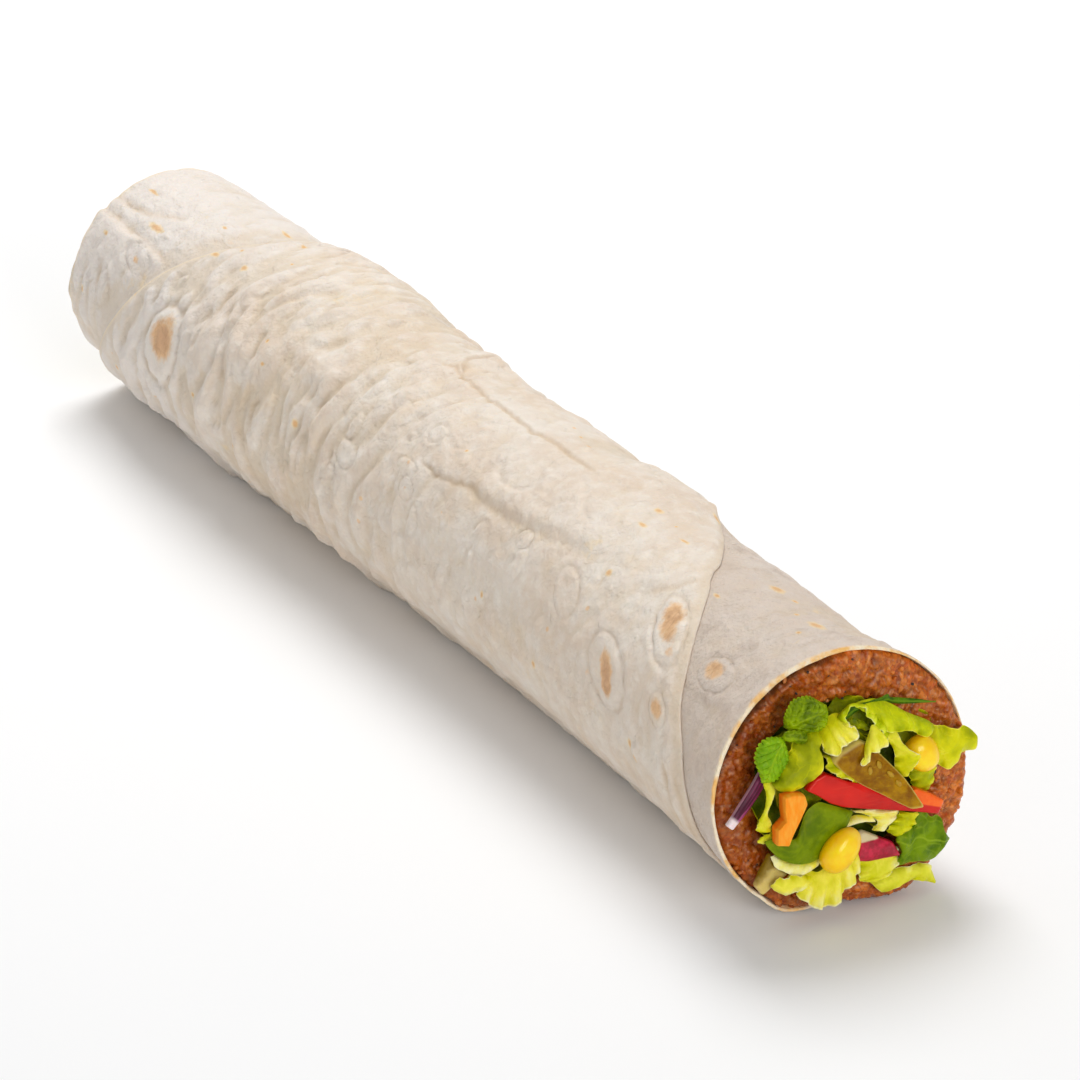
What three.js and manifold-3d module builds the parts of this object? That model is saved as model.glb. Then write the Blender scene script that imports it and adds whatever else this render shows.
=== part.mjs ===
// Cig kofte wrap: a thin flatbread rolled round a tube of spiced bulgur paste, the tube filled with salad.
//
// Millimetres, +Z up. The roll lies along X with its filled mouth towards +X. A cross-section angle is
// measured in degrees from +Y towards +Z, so 90 is the top of the roll and 270 is the line it rests on.
// The origin is the middle of the flat strip that the roll rests on.

import * as THREE from 'three';
import { mergeVertices } from 'three/addons/utils/BufferGeometryUtils.js';
import Module from 'manifold-3d';

const wasm = await Module();
wasm.setup();

// ---- Driving dimensions -------------------------------------------------------------------------

const BREAD_THICKNESS = 1.1;
const GAP = 0.3;                    // clearance between touching pieces
const LAYER_PITCH = BREAD_THICKNESS + GAP;

const MOUTH_X = 140.4;              // middle of the near rim
const MOUTH_LEAN = 7.4;             // degrees that the near rim's plane leans back
const MOUTH_FACING = 134.5;         // cross-section angle that the near rim leans towards
const FAR_X = -131;                 // far rim

const FAR_AXIS_HEIGHT = 26.1;       // height of the roll's axis at the far rim
const MOUTH_AXIS_HEIGHT = 27.8;     // height of the roll's axis at the flared mouth
const SAG_REACH = 30;               // degrees to each side of the underside over which the roll sags

const BORE_RADIUS = 18.6;           // mean radius of the salad's channel in the paste
const BORE_OFFSET_Y = 0.9;          // the channel lies a little off the roll's axis
const BORE_OFFSET_Z = -2.0;

// Outer radius of the roll along X, on its crest side and on its low side.
const CREST_ANGLE = 44.5;
const CREST_RADII = [
  [-140, 24.4], [-95, 25.7], [-57, 28.3], [-15, 25.8], [25, 27.0], [55, 28.9], [80, 27.3], [115, 27.3],
  [142, 29.4],
];
const LOW_RADII = [
  [-140, 24.8], [-118, 26.5], [-60, 26.2], [0, 25.1], [45, 24.5], [95, 25.7], [120, 27.0], [142, 29.6],
];

// Winding of the bread: an angle that starts at the hidden inner edge, at the bottom of the roll, and
// grows outwards. The last turn is the flap that shows, with its free end behind the crest.
const TURN = 360;
const WIND_STEP = 15;
const WIND_END = 630;
const FLAP_START = 405.5;           // winding angle where the flap's shaped outline begins
const FLAP_BLEND = 75;              // winding angle over which the rims run into the flap's outline
const ROLL_RADIUS = 26;             // turns winding angles into lengths along the bread

const FLAP_NEAR_X = 130;            // near edge of the flap at its start
const FLAP_NEAR_DROP = 155;         // how far the near edge curves back towards the free end
const FLAP_LENGTH = 100;            // from the flap's start to the free end, along the bread
const FLAP_FAR_X = -125;            // far edge of the flap at its start
const FLAP_FAR_SLOPE = 0.7;
const FLAP_FAR_STRAIGHT = 62;       // length of the far edge's straight stretch
const FLAP_FAR_DROP = 56;

const STATION_STEP = 16;            // spacing of the cross-sections
const FIRST_STATION = -136;
const LAST_STATION = 152;

const COLOURS = {
  bread: 0xe8ded2,
  paste: 0x9c4a22,
  salad: 0xa3c739,
  mint: 0x4f9a22,
  spinach: 0x3f8f12,
  rocket: 0x2f8a1c,
  herb: 0x2e6b17,
  pepper: 0xd81f14,
  carrot: 0xf98a1c,
  pickle: 0x9a8a1e,
  corn: 0xf7c50c,
  radish: 0xb01848,
  onion: 0x8a3f86,
};

// ---- Small helpers ------------------------------------------------------------------------------

const radians = THREE.MathUtils.degToRad;
const vec = (x, y, z) => new THREE.Vector3(x, y, z);
const clamp = THREE.MathUtils.clamp;
const lerp = THREE.MathUtils.lerp;
const smooth = THREE.MathUtils.smoothstep;

// Gentle, repeatable unevenness, from -1 to 1, over an angle in degrees and a length.
function lumps(angle, length, seed) {
  const a = radians(angle);
  return 0.5 * Math.sin(3 * a + seed) * Math.cos(length / 19 + 2 * seed)
    + 0.3 * Math.sin(5 * a - 1.7 * seed + length / 11)
    + 0.2 * Math.sin(8 * a + 2.3 * seed);
}

// Smooth curve through [x, value] pairs.
function alongCurve(points, x) {
  const last = points.length - 1;
  if (x <= points[0][0]) return points[0][1];
  if (x >= points[last][0]) return points[last][1];
  const i = points.findIndex((point) => point[0] > x);
  const [x0, v0] = points[i - 1];
  const [x1, v1] = points[i];
  return lerp(v0, v1, smooth(x, x0, x1));
}

// Reads a function of x as straight stretches between the cross-sections, so that nested facets
// stay parallel.
function atStations(x, valueAt) {
  const steps = (LAST_STATION - FIRST_STATION) / STATION_STEP;
  const i = clamp(Math.floor((x - FIRST_STATION) / STATION_STEP), 0, steps - 1);
  const x0 = FIRST_STATION + i * STATION_STEP;
  return lerp(valueAt(x0), valueAt(x0 + STATION_STEP), (x - x0) / STATION_STEP);
}

function stations() {
  const list = [];
  for (let x = FIRST_STATION; x <= LAST_STATION; x += STATION_STEP) list.push(x);
  return list;
}

// ---- Closed meshes ------------------------------------------------------------------------------

// One closed mesh from corner points and index triples: shared corners are merged, flattened
// triangles are dropped and the faces are turned outwards.
function closedMesh(corners, triples) {
  const positions = corners.flatMap((point) => [point.x, point.y, point.z]);
  let geometry = new THREE.BufferGeometry();
  geometry.setAttribute('position', new THREE.Float32BufferAttribute(positions, 3));
  geometry.setIndex(triples.flat());
  geometry = mergeVertices(geometry, 1e-4);

  const position = geometry.getAttribute('position');
  const index = geometry.getIndex().array;
  const kept = [];
  let volume = 0;
  for (let i = 0; i < index.length; i += 3) {
    const [a, b, c] = index.slice(i, i + 3);
    if (a === b || b === c || c === a) continue;
    kept.push([a, b, c]);
    const pa = vec().fromBufferAttribute(position, a);
    const pb = vec().fromBufferAttribute(position, b);
    const pc = vec().fromBufferAttribute(position, c);
    volume += pa.dot(pb.cross(pc));
  }
  if (volume < 0) kept.forEach((triple) => triple.reverse());
  geometry.setIndex(kept.flat());
  return geometry;
}

function toSolid(geometry, matrix = new THREE.Matrix4()) {
  const moved = geometry.clone().applyMatrix4(matrix);
  return new wasm.Manifold(new wasm.Mesh({
    numProp: 3,
    vertProperties: new Float32Array(moved.getAttribute('position').array),
    triVerts: new Uint32Array(moved.getIndex().array),
  }));
}

function toGeometry(solid) {
  const mesh = solid.getMesh();
  const geometry = new THREE.BufferGeometry();
  geometry.setAttribute('position', new THREE.BufferAttribute(new Float32Array(mesh.vertProperties), 3));
  geometry.setIndex(new THREE.BufferAttribute(new Uint32Array(mesh.triVerts), 1));
  return geometry;
}

// A plate from a function of (u, v, side), u and v from 0 to 1 and side 0 below or 1 above.
function plate(uSteps, vSteps, pointAt) {
  const corners = [];
  const index = (i, j, side) => (i * (vSteps + 1) + j) * 2 + side;
  for (let i = 0; i <= uSteps; i += 1) {
    for (let j = 0; j <= vSteps; j += 1) {
      corners.push(pointAt(i / uSteps, j / vSteps, 0), pointAt(i / uSteps, j / vSteps, 1));
    }
  }
  const triples = [];
  const quad = (a, b, c, d) => triples.push([a, b, c], [a, c, d]);
  for (let i = 0; i < uSteps; i += 1) {
    for (let j = 0; j < vSteps; j += 1) {
      quad(index(i, j, 1), index(i + 1, j, 1), index(i + 1, j + 1, 1), index(i, j + 1, 1));
      quad(index(i, j, 0), index(i, j + 1, 0), index(i + 1, j + 1, 0), index(i + 1, j, 0));
    }
    quad(index(i, 0, 0), index(i + 1, 0, 0), index(i + 1, 0, 1), index(i, 0, 1));
    quad(index(i, vSteps, 1), index(i + 1, vSteps, 1), index(i + 1, vSteps, 0), index(i, vSteps, 0));
  }
  for (let j = 0; j < vSteps; j += 1) {
    quad(index(0, j, 1), index(0, j + 1, 1), index(0, j + 1, 0), index(0, j, 0));
    quad(index(uSteps, j, 0), index(uSteps, j + 1, 0), index(uSteps, j + 1, 1), index(uSteps, j, 1));
  }
  return closedMesh(corners, triples);
}

// A solid from a row of rings, each a list of points; its ends are closed with a fan to their middle,
// or, for a tube, joined to each other.
function fromRings(rings, isTube = false) {
  const corners = rings.flat();
  const size = rings[0].length;
  const triples = [];
  const bands = isTube ? rings.length : rings.length - 1;
  for (let r = 0; r < bands; r += 1) {
    const below = r * size;
    const above = ((r + 1) % rings.length) * size;
    for (let k = 0; k < size; k += 1) {
      const next = (k + 1) % size;
      triples.push([below + k, below + next, above + next], [below + k, above + next, above + k]);
    }
  }
  if (!isTube) {
    const middle = (ring) => ring.reduce((sum, point) => sum.add(point), vec()).divideScalar(size);
    const first = corners.push(middle(rings[0])) - 1;
    const last = corners.push(middle(rings[rings.length - 1])) - 1;
    const top = (rings.length - 1) * size;
    for (let k = 0; k < size; k += 1) {
      const next = (k + 1) % size;
      triples.push([first, next, k], [last, top + k, top + next]);
    }
  }
  return closedMesh(corners, triples);
}

// ---- The roll's shape ---------------------------------------------------------------------------

function axisHeight(x) {
  return lerp(FAR_AXIS_HEIGHT, MOUTH_AXIS_HEIGHT, (x - FAR_X) / (MOUTH_X - FAR_X));
}

function onSection(x, angle, radius) {
  const a = radians(angle);
  return vec(x, radius * Math.cos(a), axisHeight(x) + radius * Math.sin(a));
}

function nearRim(angle) {
  const radius = ROLL_RADIUS + 2;
  return MOUTH_X - radius * Math.tan(radians(MOUTH_LEAN)) * Math.cos(radians(angle - MOUTH_FACING));
}

// Outer radius of the bread at a winding angle. Under the roll the outermost layer lies flat.
function breadRadius(x, wind) {
  const angle = 630 - wind;
  const layer = LAYER_PITCH * (wind - FLAP_START) / TURN;
  const down = Math.abs(((angle - 270 + 900) % TURN) - 180);
  const outermost = LAYER_PITCH * (TURN - (((angle - 270 + 900) % TURN) - 180) - FLAP_START) / TURN;
  return atStations(x, (station) => {
    const crest = alongCurve(CREST_RADII, station);
    const low = alongCurve(LOW_RADII, station);
    const turn = Math.cos(radians(angle - CREST_ANGLE));
    const free = (crest + low) / 2 + (crest - low) / 2 * turn;
    if (down > 75) return free + layer;
    const resting = axisHeight(station) / Math.cos(radians(down)) - outermost;
    const settled = lerp(resting, free, smooth(down, WIND_STEP, SAG_REACH));
    return Math.min(settled, resting) + layer;
  });
}

function flapNearEdge(length) {
  return FLAP_NEAR_X - FLAP_NEAR_DROP * (1 - Math.sqrt(1 - (length / FLAP_LENGTH) ** 2));
}

function flapFarEdge(length) {
  if (length < FLAP_FAR_STRAIGHT) return FLAP_FAR_X + FLAP_FAR_SLOPE * length;
  const corner = (length - FLAP_FAR_STRAIGHT) / (FLAP_LENGTH - FLAP_FAR_STRAIGHT);
  return FLAP_FAR_X + FLAP_FAR_SLOPE * FLAP_FAR_STRAIGHT + FLAP_FAR_DROP * (1 - Math.sqrt(1 - corner ** 2));
}

// How far the bread reaches along X at a winding angle: [far edge, near edge].
function breadReach(wind) {
  const length = clamp(radians(wind - FLAP_START) * ROLL_RADIUS, 0, 0.985 * FLAP_LENGTH);
  const isFlap = smooth(wind, FLAP_START - FLAP_BLEND, FLAP_START);
  return [
    lerp(FAR_X, flapFarEdge(length), isFlap),
    lerp(nearRim(630 - wind), flapNearEdge(length), isFlap),
  ];
}

function flatbread() {
  const xs = stations();
  return plate(WIND_END / WIND_STEP, xs.length - 1, (u, v, side) => {
    const wind = u * WIND_END;
    const [far, near] = breadReach(wind);
    const x = clamp(xs[Math.round(v * (xs.length - 1))], far, near);
    return onSection(x, 630 - wind, breadRadius(x, wind) - (1 - side) * BREAD_THICKNESS);
  });
}

// ---- Paste lining and salad ---------------------------------------------------------------------

const RING_SIZE = TURN / WIND_STEP;
const ROUNDING = 1.3;               // of the paste's end faces
const BORE_STATIONS = [-70, -10, 50, 105];

const ringAngles = Array.from({ length: RING_SIZE }, (_, k) => 270 - k * WIND_STEP);
const ringOf = (pointAt) => ringAngles.map((angle, k) => pointAt(angle, k * WIND_STEP));

// End faces of the paste. The near one swells out past the rim on the side away from MOUTH_FACING.
function pasteNearEnd(angle) {
  const swell = Math.max(0, Math.cos(radians(angle - MOUTH_FACING - 180)));
  return nearRim(angle) - 0.9 + 1.9 * swell + 0.5 * lumps(angle, 0, 4);
}

function pasteFarEnd(angle) {
  return FAR_X + 1.6 + 0.5 * lumps(angle, 0, 9);
}

function onBore(x, angle, margin) {
  const radius = BORE_RADIUS + 0.9 * lumps(angle, x, 2) - margin;
  const point = onSection(x, angle, radius);
  point.y += BORE_OFFSET_Y;
  point.z += BORE_OFFSET_Z;
  return point;
}

function pasteTube(margin = 0) {
  const outside = (x, angle, wind, inset) => (
    onSection(x, angle, breadRadius(x, wind) - BREAD_THICKNESS - GAP - inset + margin)
  );
  const near = (angle) => pasteNearEnd(angle) + margin;
  const far = (angle) => pasteFarEnd(angle) - margin;
  const rings = stations().map((station) => ringOf((angle, wind) => {
    const x = clamp(station, far(angle) + ROUNDING, near(angle) - ROUNDING);
    return outside(x, angle, wind, 0);
  }));
  rings.push(ringOf((angle, wind) => outside(near(angle), angle, wind, ROUNDING)));
  rings.push(ringOf((angle) => onBore(near(angle), angle, margin - ROUNDING)));
  rings.push(ringOf((angle) => onBore(near(angle) - ROUNDING, angle, margin)));
  [...BORE_STATIONS].reverse().forEach((x) => rings.push(ringOf((angle) => onBore(x, angle, margin))));
  rings.push(ringOf((angle) => onBore(far(angle) + ROUNDING, angle, margin)));
  rings.push(ringOf((angle) => onBore(far(angle), angle, margin - ROUNDING)));
  rings.push(ringOf((angle, wind) => outside(far(angle), angle, wind, ROUNDING)));
  return fromRings(rings, true);
}

// The salad's core fills the channel and swells out of both ends as a low dome.
function saladCore() {
  const dome = [[0.97, 1.6], [0.8, 3.0], [0.35, 4.4]];
  const domeRing = (share, height, isNear) => ringOf((angle) => {
    const end = isNear ? pasteNearEnd(angle) : pasteFarEnd(angle);
    const swell = (isNear ? height : -0.45 * height) + 0.4 * lumps(angle, height, 6);
    const middle = isNear ? MOUTH_X : FAR_X + 1.5;
    const x = lerp(middle, end, share) + swell;
    return onBore(x, angle, BORE_RADIUS * (1 - share) + GAP);
  });
  const rings = [...dome].reverse().map(([share, height]) => domeRing(share, height, false));
  rings.push(ringOf((angle) => onBore(pasteFarEnd(angle) + ROUNDING, angle, GAP)));
  BORE_STATIONS.forEach((x) => rings.push(ringOf((angle) => onBore(x, angle, GAP))));
  rings.push(ringOf((angle) => onBore(pasteNearEnd(angle) - ROUNDING, angle, GAP)));
  dome.forEach(([share, height]) => rings.push(domeRing(share, height, true)));
  return fromRings(rings);
}

// ---- What shows in the mouth --------------------------------------------------------------------
//
// Mouth coordinates: x to the right and y up as one looks into the mouth, z out of it.

const mouth = new THREE.Matrix4();
{
  const lean = radians(MOUTH_LEAN);
  const facing = radians(MOUTH_FACING);
  const out = vec(Math.cos(lean), Math.sin(lean) * Math.cos(facing), Math.sin(lean) * Math.sin(facing));
  const up = vec(0, 0, 1).addScaledVector(out, -out.z).normalize();
  mouth.makeBasis(up.clone().cross(out), up, out);
  mouth.setPosition(MOUTH_X, 0, axisHeight(MOUTH_X));
}

// Moves a piece modelled along its own +X so that it runs from one point to another, with its own +Z
// turned towards the facing direction.
function lay(from, to, facing) {
  const along = vec(...to).sub(vec(...from)).normalize();
  const side = vec(...facing).cross(along).normalize();
  const matrix = new THREE.Matrix4().makeBasis(along, side, along.clone().cross(side));
  matrix.setPosition(...from);
  return matrix.premultiply(mouth);
}

const distance = (from, to) => vec(...from).distanceTo(vec(...to));

// A leaf blade: rounded outline, cupped across, bent along, with a ruffled edge.
function leaf(length, width, margin, shape = {}) {
  const { cup = 0.12, bend = 0.1, ruffle = 0.6, waves = 2.5, bluntness = 0.5, thickness = 0.9 } = shape;
  const half = thickness / 2 + margin;
  return plate(5, 4, (u, v, side) => {
    const s = 2 * v - 1;
    const outline = Math.max(0.16, Math.sin(Math.PI * lerp(0.04, 0.96, u)) ** bluntness);
    const y = s * (width / 2 * outline + margin);
    const wave = ruffle * Math.abs(s) * Math.sin(2 * Math.PI * (waves * u + 0.2 * Math.sign(s)));
    const z = cup * width * s * s * outline - bend * length * (u * u - u) * 4 * 0.5 + wave;
    return vec(lerp(-margin, length + margin, u), y, z + (side ? half : -half));
  });
}

// A stick with a rounded box section, bowed sideways.
function stick(length, width, height, margin, shape = {}) {
  const { bow = 0, roundness = 0.35, sections = 5 } = shape;
  const sides = 8;
  const rings = Array.from({ length: sections + 1 }, (_, i) => {
    const t = i / sections;
    return Array.from({ length: sides }, (_, k) => {
      const a = 2 * Math.PI * k / sides;
      const square = (value) => Math.sign(value) * Math.abs(value) ** roundness;
      const y = square(Math.cos(a)) * (width / 2 + margin) + bow * 4 * t * (1 - t);
      const z = square(Math.sin(a)) * (height / 2 + margin);
      return vec(lerp(-margin, length + margin, t), y, z);
    });
  });
  return fromRings(rings);
}

// A rounded body of revolution with its own profile of [position, radius] shares.
function rounded(length, width, depth, profile, margin) {
  const sides = 10;
  const rings = profile.map(([along, share]) => Array.from({ length: sides }, (_, k) => {
    const a = 2 * Math.PI * k / sides;
    return vec(
      lerp(-margin, length + margin, along),
      Math.cos(a) * share * (width / 2 + margin),
      Math.sin(a) * share * (depth / 2 + margin),
    );
  }));
  return fromRings(rings);
}

// Each piece is a function of a margin, so that its pocket in the pieces behind it is the same shape
// grown by the clearance.
const laidLeaf = (from, to, width, facing, shape) => (margin) => (
  toSolid(leaf(distance(from, to), width, margin, shape), lay(from, to, facing))
);
const laidStick = (from, to, width, height, facing, shape) => (margin) => (
  toSolid(stick(distance(from, to), width, height, margin, shape), lay(from, to, facing))
);
const laidRounded = (from, to, width, depth, facing, profile) => (margin) => (
  toSolid(rounded(distance(from, to), width, depth, profile, margin), lay(from, to, facing))
);
const joined = (...pieces) => (margin) => (
  pieces.map((piece) => piece(margin)).reduce((sum, solid) => sum.add(solid))
);

const OUT = [0, 0, 1];
const KERNEL = [[0.0, 0.3], [0.06, 0.55], [0.2, 0.86], [0.45, 1.0], [0.7, 0.95], [0.88, 0.7], [1.0, 0.3]];
const WEDGE = [[0.0, 0.45], [0.15, 0.8], [0.4, 1.0], [0.7, 0.66], [0.9, 0.3], [1.0, 0.1]];
const SLAB = [[0.0, 0.55], [0.2, 0.92], [0.5, 1.0], [0.8, 0.85], [1.0, 0.45]];

// Lettuce leaves that make the salad's uneven outline.
const LETTUCE = [
  laidLeaf([-4, 9, 2.2], [-14.8, 2.6, 4.6], 10, [-0.2, 0.2, 1], { ruffle: 0.3 }),
  laidLeaf([-2, 4, 2.4], [0.5, 18, 5.8], 12, [-0.3, 0.3, 1], { ruffle: 1.2 }),
  laidLeaf([-3, 13, 2.2], [20, 7.5, 4.2], 8, [0, 0.4, 1], { ruffle: 0.9 }),
  laidLeaf([11, 5, 2.4], [29.6, 4.2, 3.6], 8.5, [0.2, 0.2, 1], { ruffle: 0.5 }),
  laidLeaf([6, 2, 2.4], [12.5, 9.5, 5.4], 7, [0.2, 0.2, 1], { ruffle: 0.8 }),
  laidLeaf([-9, -1, 2.2], [-19.4, -7.0, 3.2], 7, [-0.3, -0.1, 1], { ruffle: 0.6 }),
  laidLeaf([-6, -11, 2.2], [-8.2, -24.4, 4.6], 18, [0.1, -0.3, 1], { ruffle: 1.1 }),
  laidLeaf([1, -11, 2.4], [8.5, -20.8, 4.4], 9, [0.2, -0.2, 1], { ruffle: 0.7 }),
  laidLeaf([5, -13, 2.2], [19, -25.6, 3.4], 8.5, [0.1, -0.2, 1], { ruffle: 0.5 }),
  laidLeaf([8, -4, 2.4], [20.5, -1.5, 4.4], 7, [0.1, -0.1, 1], { ruffle: 0.7 }),
];

// Name, colour, roughness and shape of every piece on the salad, from the front backwards: each is
// cut clear of the ones before it.
const TOPPINGS = [
  ['corn_kernel_upper', 'corn', 0.35, laidRounded([14.1, 7.0, 4.2], [17.9, 1.4, 7.2], 6.2, 5.4, OUT, KERNEL)],
  ['corn_kernel_lower', 'corn', 0.35,
    laidRounded([-7.0, -14.4, 6.2], [-0.8, -8.4, 9.0], 6.4, 5.8, OUT, KERNEL)],
  ['pickle_wedge', 'pickle', 0.3,
    laidRounded([-2.4, 8.6, 3.6], [14.8, -5.8, 9.0], 10.5, 3.0, [0.2, 0.3, 1], WEDGE)],
  ['red_pepper_strip', 'pepper', 0.3,
    laidStick([-8.2, 3.2, 5.8], [18.7, -7.6, 5.0], 4.4, 2.4, [0.1, -0.3, 1], { bow: -1.0, sections: 7 })],
  ['carrot_stick', 'carrot', 0.45,
    laidStick([-12.8, 3.2, 6.0], [-16.3, -7.0, 7.2], 4.2, 3.2, OUT, { roundness: 0.25, bow: 0.5 })],
  ['mint_sprig', 'mint', 0.5, joined(
    laidLeaf([-11.8, 13.6, 4.6], [-6.0, 21.4, 6.2], 8.8, [-0.3, 0.2, 1], { cup: -0.1, ruffle: 0.15 }),
    laidLeaf([-13.2, 13.8, 4.6], [-18.4, 6.6, 6.0], 6.8, [-0.3, 0, 1], { cup: -0.1, ruffle: 0.15 }),
    laidLeaf([-14.0, 14.6, 5.6], [-9.6, 14.2, 7.0], 2.4, [-0.2, 0, 1], { ruffle: 0, thickness: 1.2 }),
    laidStick([-12.6, 14.2, 5.8], [-9.4, 10.8, 1.4], 1.6, 1.6, [0, 1, 0], { roundness: 1, sections: 2 }),
  )],
  ['radish_slice', 'radish', 0.35,
    laidRounded([0.4, -12.4, 5.0], [10.8, -14.6, 5.0], 5.6, 2.4, [0, -0.5, 1], SLAB)],
  ['rocket_leaf', 'rocket', 0.5,
    laidLeaf([10.2, -14.6, 3.6], [22.0, -15.0, 4.8], 12, [0.1, 0, 1], { ruffle: 0.5, waves: 3 })],
  ['spinach_leaf', 'spinach', 0.5,
    laidLeaf([-0.4, -4.4, 4.2], [-18.2, -9.8, 5.2], 11.5, [-0.1, -0.1, 1], { cup: 0.05, ruffle: 0.2 })],
  ['herb_leaf', 'herb', 0.55,
    laidLeaf([-1.2, 16.2, 2.4], [20.4, 13.9, 2.6], 4, [-0.4, 0.6, 1], { ruffle: 0.2 })],
  ['red_onion_strip', 'onion', 0.35,
    laidStick([-16.8, 8.4, 2.2], [-26.0, -3.0, 2.2], 2.4, 1.6, OUT, { bow: 0.4 })],
  ['pickle_slice', 'pickle', 0.3,
    laidRounded([-13.6, -12.0, 2.6], [-20.8, -18.4, 2.6], 7.6, 2.0, OUT, SLAB)],
];

// ---- Assembly -----------------------------------------------------------------------------------

const wrap = new THREE.Group();

function addMesh(name, geometry, colour, roughness) {
  const material = new THREE.MeshStandardMaterial({ color: COLOURS[colour], roughness, metalness: 0 });
  const mesh = new THREE.Mesh(geometry, material);
  mesh.name = name;
  wrap.add(mesh);
}

const leafySalad = LETTUCE.reduce((sum, piece) => sum.add(piece(0)), toSolid(saladCore()));
let salad = leafySalad.subtract(toSolid(pasteTube(GAP)));

addMesh('flatbread', flatbread(), 'bread', 0.8);
addMesh('kofte_lining', pasteTube(), 'paste', 0.75);

const pockets = [];
TOPPINGS.forEach(([name, colour, roughness, piece]) => {
  const solid = pockets.reduce((rest, pocket) => rest.subtract(pocket), piece(0));
  addMesh(name, toGeometry(solid), colour, roughness);
  const pocket = piece(GAP);
  pockets.push(pocket);
  salad = salad.subtract(pocket);
});

// The pockets cut a few crumbs loose; only the heap itself is kept.
const [heap] = salad.decompose().sort((a, b) => b.volume() - a.volume());
addMesh('salad', toGeometry(heap), 'salad', 0.55);

export default wrap;
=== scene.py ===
import itertools
import math

import bpy
import numpy as np
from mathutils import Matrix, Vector
from mathutils.kdtree import KDTree


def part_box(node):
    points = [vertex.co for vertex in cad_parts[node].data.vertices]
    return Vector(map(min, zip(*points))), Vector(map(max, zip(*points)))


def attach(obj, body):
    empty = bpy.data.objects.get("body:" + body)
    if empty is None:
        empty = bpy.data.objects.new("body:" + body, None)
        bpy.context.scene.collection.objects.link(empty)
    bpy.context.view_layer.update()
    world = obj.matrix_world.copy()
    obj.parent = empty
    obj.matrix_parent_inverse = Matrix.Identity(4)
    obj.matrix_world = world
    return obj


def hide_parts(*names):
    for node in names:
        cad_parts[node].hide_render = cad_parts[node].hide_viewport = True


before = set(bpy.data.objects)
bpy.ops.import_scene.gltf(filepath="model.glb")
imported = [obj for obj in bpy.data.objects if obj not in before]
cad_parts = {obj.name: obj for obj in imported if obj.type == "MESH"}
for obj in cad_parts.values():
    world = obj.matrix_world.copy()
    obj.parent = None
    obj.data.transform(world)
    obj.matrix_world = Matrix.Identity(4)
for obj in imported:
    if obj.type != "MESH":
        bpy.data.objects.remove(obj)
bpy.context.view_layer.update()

MM = 0.001
WARM_GLOSS = (1.0, 0.95, 0.45, 1.0)


# ---------------------------------------------------------------- numbers and noise

def smooth(value, low, high):
    """0 at low, 1 at high and eased between; high may be the lower one."""
    t = np.clip((value - low) / (high - low), 0, 1)
    return t * t * (3 - 2 * t)


def lerp(a, b, t):
    """From a to b as t goes from 0 to 1."""
    return a + (b - a) * t


def unit(v):
    """Vectors scaled to length 1."""
    v = np.asarray(v, float)
    return v / np.maximum(np.linalg.norm(v, axis=-1, keepdims=True), 1e-12)


GRADIENTS = unit(np.array([d for d in itertools.product((-1, 0, 1), repeat=3) if sum(map(abs, d)) == 2],
                          float))


def noise(x, y, z=0.0, seed=0):
    """Smooth gradient noise, about -1 to 1, over arrays of coordinates."""
    x, y, z = np.broadcast_arrays(x, y, z)
    p = np.stack([x, y, z], -1).astype(float)
    cell = np.floor(p).astype(np.int64)
    f = p - cell
    w = f ** 3 * (f * (f * 6 - 15) + 10)
    total = np.zeros(p.shape[:-1])
    for corner in itertools.product((0, 1), repeat=3):
        c = cell + np.array(corner)
        # Mixes the corner's whole numbers into the pick of one gradient.
        h = c[..., 0] * 374761393 + c[..., 1] * 668265263 + c[..., 2] * 2147483647 + seed * 974634777
        h = (h ^ (h >> 13)) * 1274126177
        h = (h ^ (h >> 16)) & 0x7FFFFFFF
        g = GRADIENTS[h % len(GRADIENTS)]
        weight = np.prod(np.where(np.array(corner) == 1, w, 1 - w), axis=-1)
        total += weight * np.sum(g * (f - np.array(corner)), axis=-1)
    return total * 1.5


def layered(x, y, z=0.0, seed=0, octaves=3):
    """Noise with finer noise on it."""
    return sum(noise(x * 2 ** k, y * 2 ** k, z * 2 ** k, seed + k) / 2 ** k for k in range(octaves)) / 1.5


def colour(r, g, b):
    """A screen colour, 0 to 255, as the linear colour a shader takes."""
    return tuple(c / 12.92 if c <= 0.04045 else ((c + 0.055) / 1.055) ** 2.4
                 for c in (r / 255, g / 255, b / 255)) + (1.0,)


# ---------------------------------------------------------------- meshes

class Shape:
    """Points in millimetres, faces, and named values on the points, gathered into one object."""

    def __init__(self):
        self.points, self.faces, self.values, self.count = [], [], {}, 0

    def add(self, points, faces, **values):
        points = np.asarray(points, float).reshape(-1, 3)
        self.points.append(points)
        self.faces += [[i + self.count for i in face] for face in faces]
        for name, value in values.items():
            value = np.asarray(value, float)
            if value.ndim == 0 or value.shape == (3,):
                value = np.broadcast_to(value, (len(points),) + value.shape)
            self.values.setdefault(name, []).append(value)
        self.count += len(points)

    def middle(self):
        points = np.concatenate(self.points)
        return (points.min(0) + points.max(0)) / 2

    def move(self, offset):
        self.points = [p + offset for p in self.points]

    def build(self, name, finish, slot, replaces=()):
        mesh = bpy.data.meshes.new(name)
        mesh.from_pydata((np.concatenate(self.points) * MM).tolist(), [], self.faces)
        mesh.polygons.foreach_set("use_smooth", np.ones(len(mesh.polygons), bool))
        for key, parts in self.values.items():
            value = np.concatenate(parts).astype(np.float32)
            kind, field = ("FLOAT_VECTOR", "vector") if value.ndim == 2 else ("FLOAT", "value")
            mesh.attributes.new(key, kind, "POINT").data.foreach_set(field, value.ravel())
        mesh.materials.append(finish)
        mesh.update()
        piece = bpy.data.objects.new(name, mesh)
        bpy.context.scene.collection.objects.link(piece)
        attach(piece, "root")
        for node in replaces:
            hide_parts(node)
        return piece


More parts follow.
